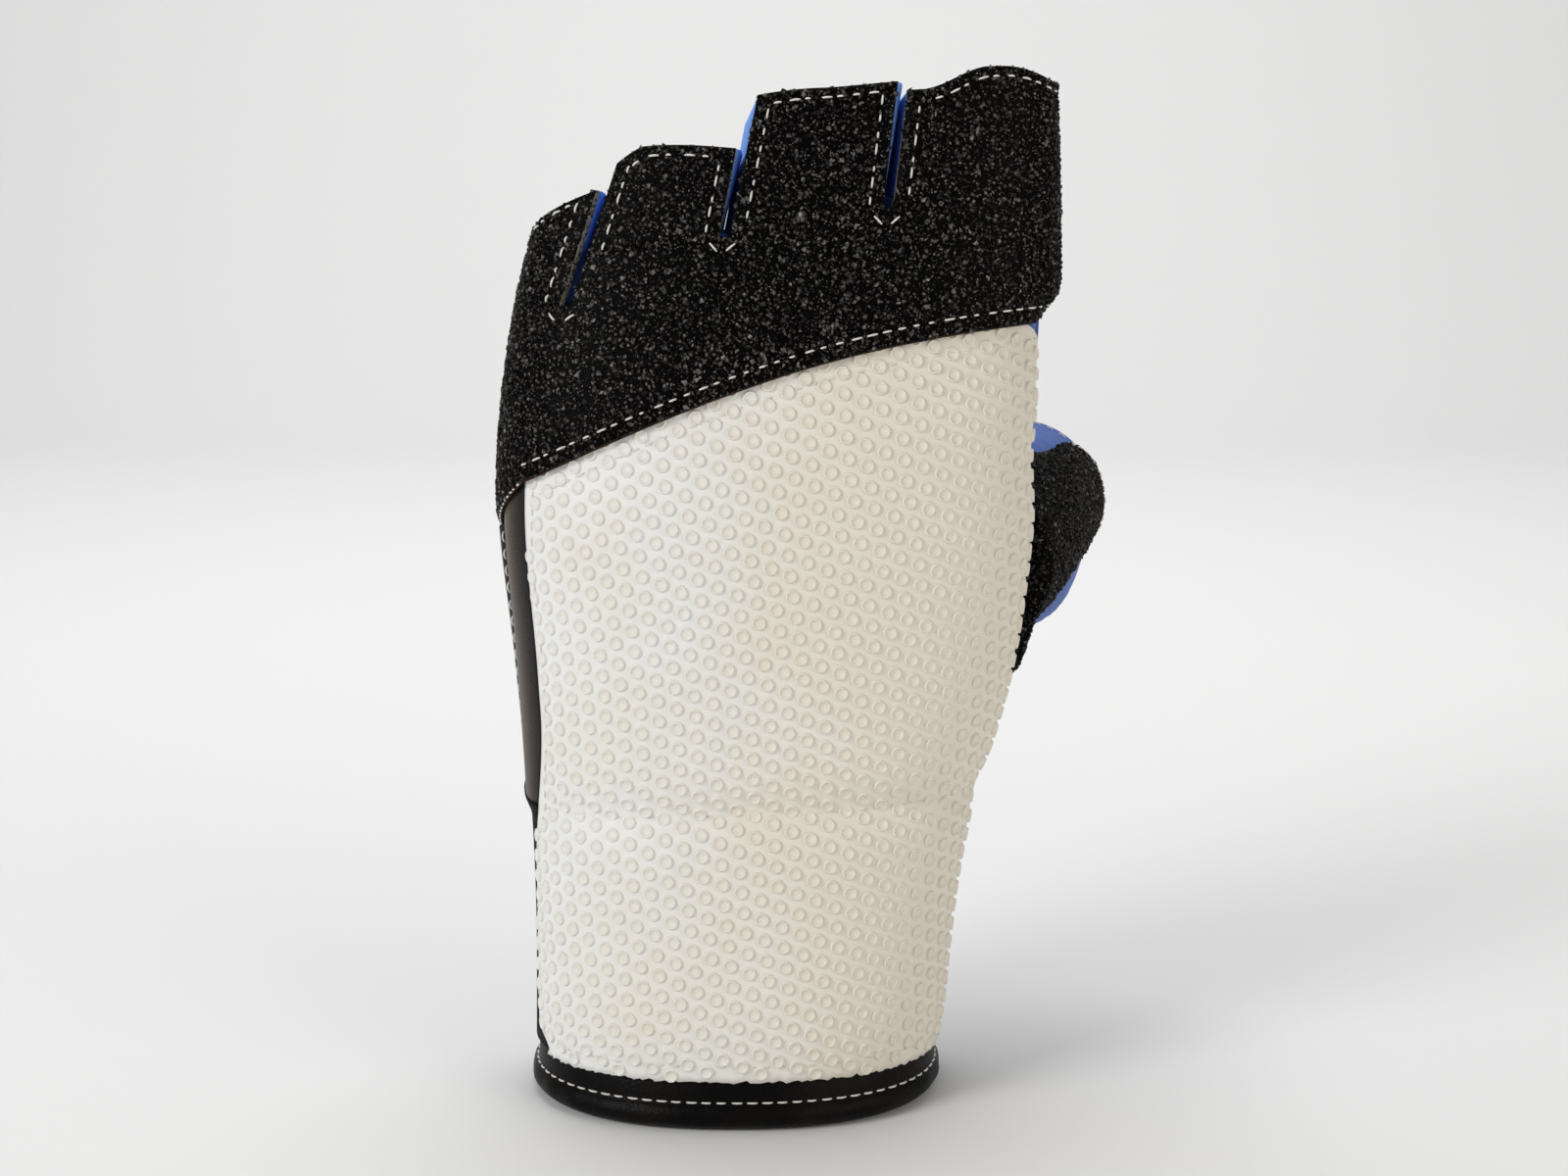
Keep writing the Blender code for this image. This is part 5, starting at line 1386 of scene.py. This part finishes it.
class GLOVE_OT_thread(bpy.types.Operator):
    """Adds the sewing thread of every seam"""

    bl_idname = "glove.add_thread"
    bl_label = "Sewing thread"

    def add(self, name, parts):
        return add_piece(name, parts, ["thread"])

    def execute(self, context):
        p = panels()
        groove = 0.35 * MM  # depth of the binding at its stitches
        ring = np.linspace(0, FULL_TURN, 400)
        hem = sewn(on_skin(-groove), ring, np.full(ring.size, p.binding_seam))
        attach(self.add("binding_thread", [hem]), "cuff")
        fold_wrist(self.add("back_thread", self.back_lines()))
        self.knuckles()
        fold_wrist(self.add("welt_thread", [self.welt_line()]))
        self.patches()
        return {"FINISHED"}

    def welt_line(self):
        """Along the front of the welt, half way up its side."""
        p = panels()
        aside, lift = 3.3 * MM, 0.1 * MM
        t = np.linspace(0.12, 0.98, 120)
        foot = seam_height(p.side_seam)
        front = p.side_seam + aside / loft_sizes().back[WRIST]
        at = skin(front, foot + (grit_edge(front) - foot) * t, lift + 0.5 * p.welt * t ** WELT_TAPER)
        outward = np.broadcast_to([-0.9, -0.44, 0.0], at.shape)
        return stitches(at, outward, lift=1.3, scale=1.1)

    def back_lines(self):
        """White on white: down the outer edge, along the hem, along the top edge and along the wrist seam."""
        p = panels()
        inset = 2.3 * MM / loft_sizes().back[WRIST]
        foot = p.binding_height + 2.2 * MM
        count = 160
        z = np.linspace(foot, grit_edge(p.grit_left) - 1 * MM, count)
        outer = sewn(white_point, panel_left(z) + inset, z)
        phi = np.linspace(panel_left(foot) + inset, p.right_edge - inset, count)
        hem = sewn(white_point, phi, np.full(count, foot))
        phi = np.linspace(p.grit_left + inset, p.right_edge - inset, count)
        top = sewn(white_point, phi, grit_edge(phi) - EDGE_LINE)
        phi = np.linspace(panel_left(p.seam_height) + inset / 2, p.right_edge - inset / 2, count)
        wrist = sewn(white_point, phi, seam_height(phi))
        return [outer, hem, top, wrist]

    def knuckles(self):
        """Crumb-rubber panel: along its lower edge, down the slits in a V, and round each stall's edges."""
        p = panels()
        d = detail()
        crumb = on_skin(p.clearance + p.grit)
        end_gap, side_gap, corner_gap = 0.13, 0.03, 0.04  # radians
        phi = np.linspace(p.grit_left, p.right_edge - end_gap, 200)
        lines = [sewn(crumb, phi, grit_edge(phi) + EDGE_LINE, **CRUMB_STITCH)]
        phi = np.linspace(p.grit_left - side_gap, p.side_seam + corner_gap, 80)
        edge = on_skin(p.clearance + p.grit - 1.0 * MM)
        lines.append(sewn(edge, phi, grit_edge(phi) + 0.5 * MM, lift=1.2, least=0.6, scale=0.5))
        made = fingers()
        for finger in made[:-1]:
            foot = finger.root[1]
            x = stalls().slit_x[finger.number]
            lean = stalls().slit_lean[finger.number]
            wide = d.slit_margin + stalls().slit_width / 2
            v_drop, v_height = 3.6 * MM, 3.4 * MM
            for side in (-1, 1):
                t = np.linspace(0, 1, 12)
                z = foot - v_drop + t * v_height
                line = x + (z - foot) * tan(lean) + side * wide * t
                lines.append(sewn(crumb, back_angle(line, z), z, lift=1.0, least=0.6, scale=1.3))
        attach(self.add("knuckle_thread", lines), "hand")
        for finger in made:
            fold_finger(self.add(finger.name + "_thread", self.stall_lines(finger, crumb)), finger)

    def stall_lines(self, finger, crumb):
        """Along the slit edges and the top edge of a stall, one seam margin in."""
        d = detail()
        lines = []
        for side in (0, 1):
            if finger.slits[side] is None:
                continue
            z = np.linspace(finger.root[side] + 0.3 * MM, finger.top[side] - d.margin, 60)
            lines.append(sewn(crumb, finger.edge(side, z, BACK, d.slit_margin), z, **CRUMB_STITCH))
        u = np.linspace(0.06, 0.94, 80)
        ends = [np.full(u.size, finger.top[k] - d.margin) for k in (0, 1)]
        left = finger.edge(0, ends[0], BACK, d.margin)
        right = finger.edge(1, ends[1], BACK, d.margin)
        z = ends[0] * (1 - u) + ends[1] * u + finger.crest(u)
        lines.append(sewn(crumb, left * (1 - u) + right * u, z, **CRUMB_STITCH))
        return lines

    def patches(self):
        """Round the palm's patch and the thumb's patch, and round the thumb's mouth."""
        p = panels()
        s = stalls()
        d = detail()
        crumb = on_skin(p.clearance + p.rubber)
        t = np.linspace(0, 1, 80)
        inset = d.margin / loft_sizes().palm[WRIST]
        first, last = p.palm_patch[0] + inset, p.palm_patch[1] - inset
        columns = first + (last - first) * t
        foot = seam_height(columns) + p.palm_patch_foot - p.palm_patch_round * np.sin(np.pi * t) + d.margin
        top = loft_sizes().heights[KNUCKLE] - p.palm_patch_top - d.margin
        around = joined((columns, foot), (np.full(t.size, last), foot[-1] + (top - foot[-1]) * t),
                        (columns[::-1], np.full(t.size, top)),
                        (np.full(t.size, first), top + (foot[0] - top) * t))
        fold_wrist(self.add("palm_thread", [sewn(crumb, *around, **CRUMB_STITCH)]))
        theta = np.linspace(FULL_TURN, 0, 200)
        hem = np.full(theta.size, s.thumb_length - THUMB_HEM)
        mouth = sewn(lambda a, b: thumb_point(-a, b, 0.1 * MM), -theta, hem)
        u = np.linspace(-0.93, 0.93, 120)
        angle = s.thumb_patch[0] + np.where(u > 0, s.thumb_patch[1], s.thumb_patch_low[0]) * u
        end = s.thumb_length - THUMB_HEM - s.thumb_patch_round * u ** 4 - d.margin
        patch = sewn(lambda a, b: thumb_point(-a, b, p.clearance + p.rubber), -angle, end, **CRUMB_STITCH)
        fold_thumb(self.add("thumb_thread", [mouth, patch]))


class GLOVE_OT_stage(bpy.types.Operator):
    """Adds the paper floor, the soft lights and the camera at the photograph's angle"""

    bl_idname = "glove.add_stage"
    bl_label = "Stage"

    def execute(self, context):
        self.paper()
        self.light("key", (-1.0, -0.8, 0.70), (0, 0, 0.1), 0.6, 9.5, "#FFFFFF")
        self.light("fill", (0.95, -0.85, 0.45), (0, 0, 0.1), 0.9, 4.5, "#FFFAF2")
        self.light("top", (0.0, 0.35, 1.1), (0, 0, 0.1), 0.9, 3.0, "#FFFFFF")
        self.light("wall", (0.0, 0.5, 1.5), (0, 1.6, 0.5), 1.2, 13.0, "#FFFFFF")
        self.surroundings(context)
        context.scene.view_settings.view_transform = "Standard"
        self.camera(context)
        return {"FINISHED"}

    def surroundings(self, context):
        """Dim studio that lights the glove softly, and is seen as the paper's own pale grey."""
        world = bpy.data.worlds.new("studio")
        world.use_nodes = True
        tree = world.node_tree
        seen = node(tree, "ShaderNodeLightPath").outputs["Is Camera Ray"]
        strength = node(tree, "ShaderNodeMapRange", {0: seen, 3: 0.30, 4: 0.79})
        tree.links.new(strength.outputs[0], tree.nodes["Background"].inputs["Strength"])
        tree.nodes["Background"].inputs["Color"].default_value = linear("#FFFFFF")
        context.scene.world = world

    def paper(self):
        """Paper sweep: a flat floor that turns up in a quarter circle to a wall behind the glove."""
        turn_up = np.linspace(0, pi / 2, 17)
        radius, deep = 0.5, 1.1
        y = np.concatenate([[-2.2], deep + radius * np.sin(turn_up), [deep + radius]])
        z = np.concatenate([[0], radius - radius * np.cos(turn_up), [2.4]])
        x = np.array([-2.6, 2.6])
        points = np.stack(np.broadcast_arrays(x[None, :], y[:, None], z[:, None]), -1)
        mesh = bpy.data.meshes.new("paper")
        mesh.from_pydata(points.reshape(-1, 3).tolist(), [], quads(*points.shape[:2]).tolist())
        mesh.shade_smooth()
        mesh.materials.append(finish("paper"))
        sweep = bpy.data.objects.new("paper", mesh)
        bpy.context.scene.collection.objects.link(sweep)

    def light(self, name, where, towards, size, power, tone):
        """Round soft light at a place, turned towards a point."""
        lamp = bpy.data.lights.new(name, "AREA")
        lamp.shape = "DISK"
        lamp.size = size
        lamp.energy = power
        lamp.color = linear(tone)[:3]
        holder = bpy.data.objects.new(name, lamp)
        holder.location = where
        aim = np.array(towards) - np.array(where)
        holder.rotation_euler = (np.arctan2(np.hypot(aim[0], aim[1]), -aim[2]), 0,
                                 np.arctan2(aim[1], aim[0]) - pi / 2)
        bpy.context.scene.collection.objects.link(holder)

    def camera(self, context):
        """Ten degrees above the horizon, 0.52 m from the glove; the picture is 0.32 m wide there."""
        distance = 0.52
        rise = radians(10)
        target = np.array([0.010, 0.0, 0.1041]) + place()
        view = bpy.data.cameras.new("photo_view")
        view.sensor_fit = "HORIZONTAL"
        view.angle = 2 * atan(0.16 / distance)
        view.clip_start = 0.01
        holder = bpy.data.objects.new("photo_view", view)
        holder.location = target + distance * np.array([0, -cos(rise), sin(rise)])
        holder.rotation_euler = (pi / 2 - rise, 0, 0)
        context.scene.collection.objects.link(holder)
        context.scene.camera = holder


class GLOVE_PT_panel(bpy.types.Panel):
    """Lists the glove's pieces"""

    bl_idname = "GLOVE_PT_panel"
    bl_label = "Target glove"
    bl_space_type = "VIEW_3D"
    bl_region_type = "UI"
    bl_category = "Glove"

    def draw(self, context):
        for operator in OPERATORS:
            self.layout.operator(operator.bl_idname)
        for name in GROUPS:
            group = getattr(context.scene, name)
            column = self.layout.column(heading=name)
            for key in group.__annotations__:
                column.prop(group, key)


GROUPS = {
    "glove_loft": GloveLoft,
    "glove_panels": GlovePanels,
    "glove_stalls": GloveStalls,
    "glove_detail": GloveDetail,
    "glove_colours": GloveColours,
}
OPERATORS = (GLOVE_OT_back, GLOVE_OT_grip, GLOVE_OT_leather, GLOVE_OT_stalls, GLOVE_OT_binding,
             GLOVE_OT_thread, GLOVE_OT_stage)


def register():
    for name, group in GROUPS.items():
        bpy.utils.register_class(group)
        setattr(bpy.types.Scene, name, bpy.props.PointerProperty(type=group))
    for made in (*OPERATORS, GLOVE_PT_panel):
        bpy.utils.register_class(made)


def unregister():
    for made in reversed((*OPERATORS, GLOVE_PT_panel)):
        bpy.utils.unregister_class(made)
    for name, group in GROUPS.items():
        delattr(bpy.types.Scene, name)
        bpy.utils.unregister_class(group)


def main():
    register()
    bpy.ops.glove.add_back()
    bpy.ops.glove.add_grip()
    bpy.ops.glove.add_leather()
    bpy.ops.glove.add_stalls()
    bpy.ops.glove.add_binding()
    bpy.ops.glove.add_thread()
    bpy.ops.glove.add_stage()


if __name__ == "__main__":
    main()
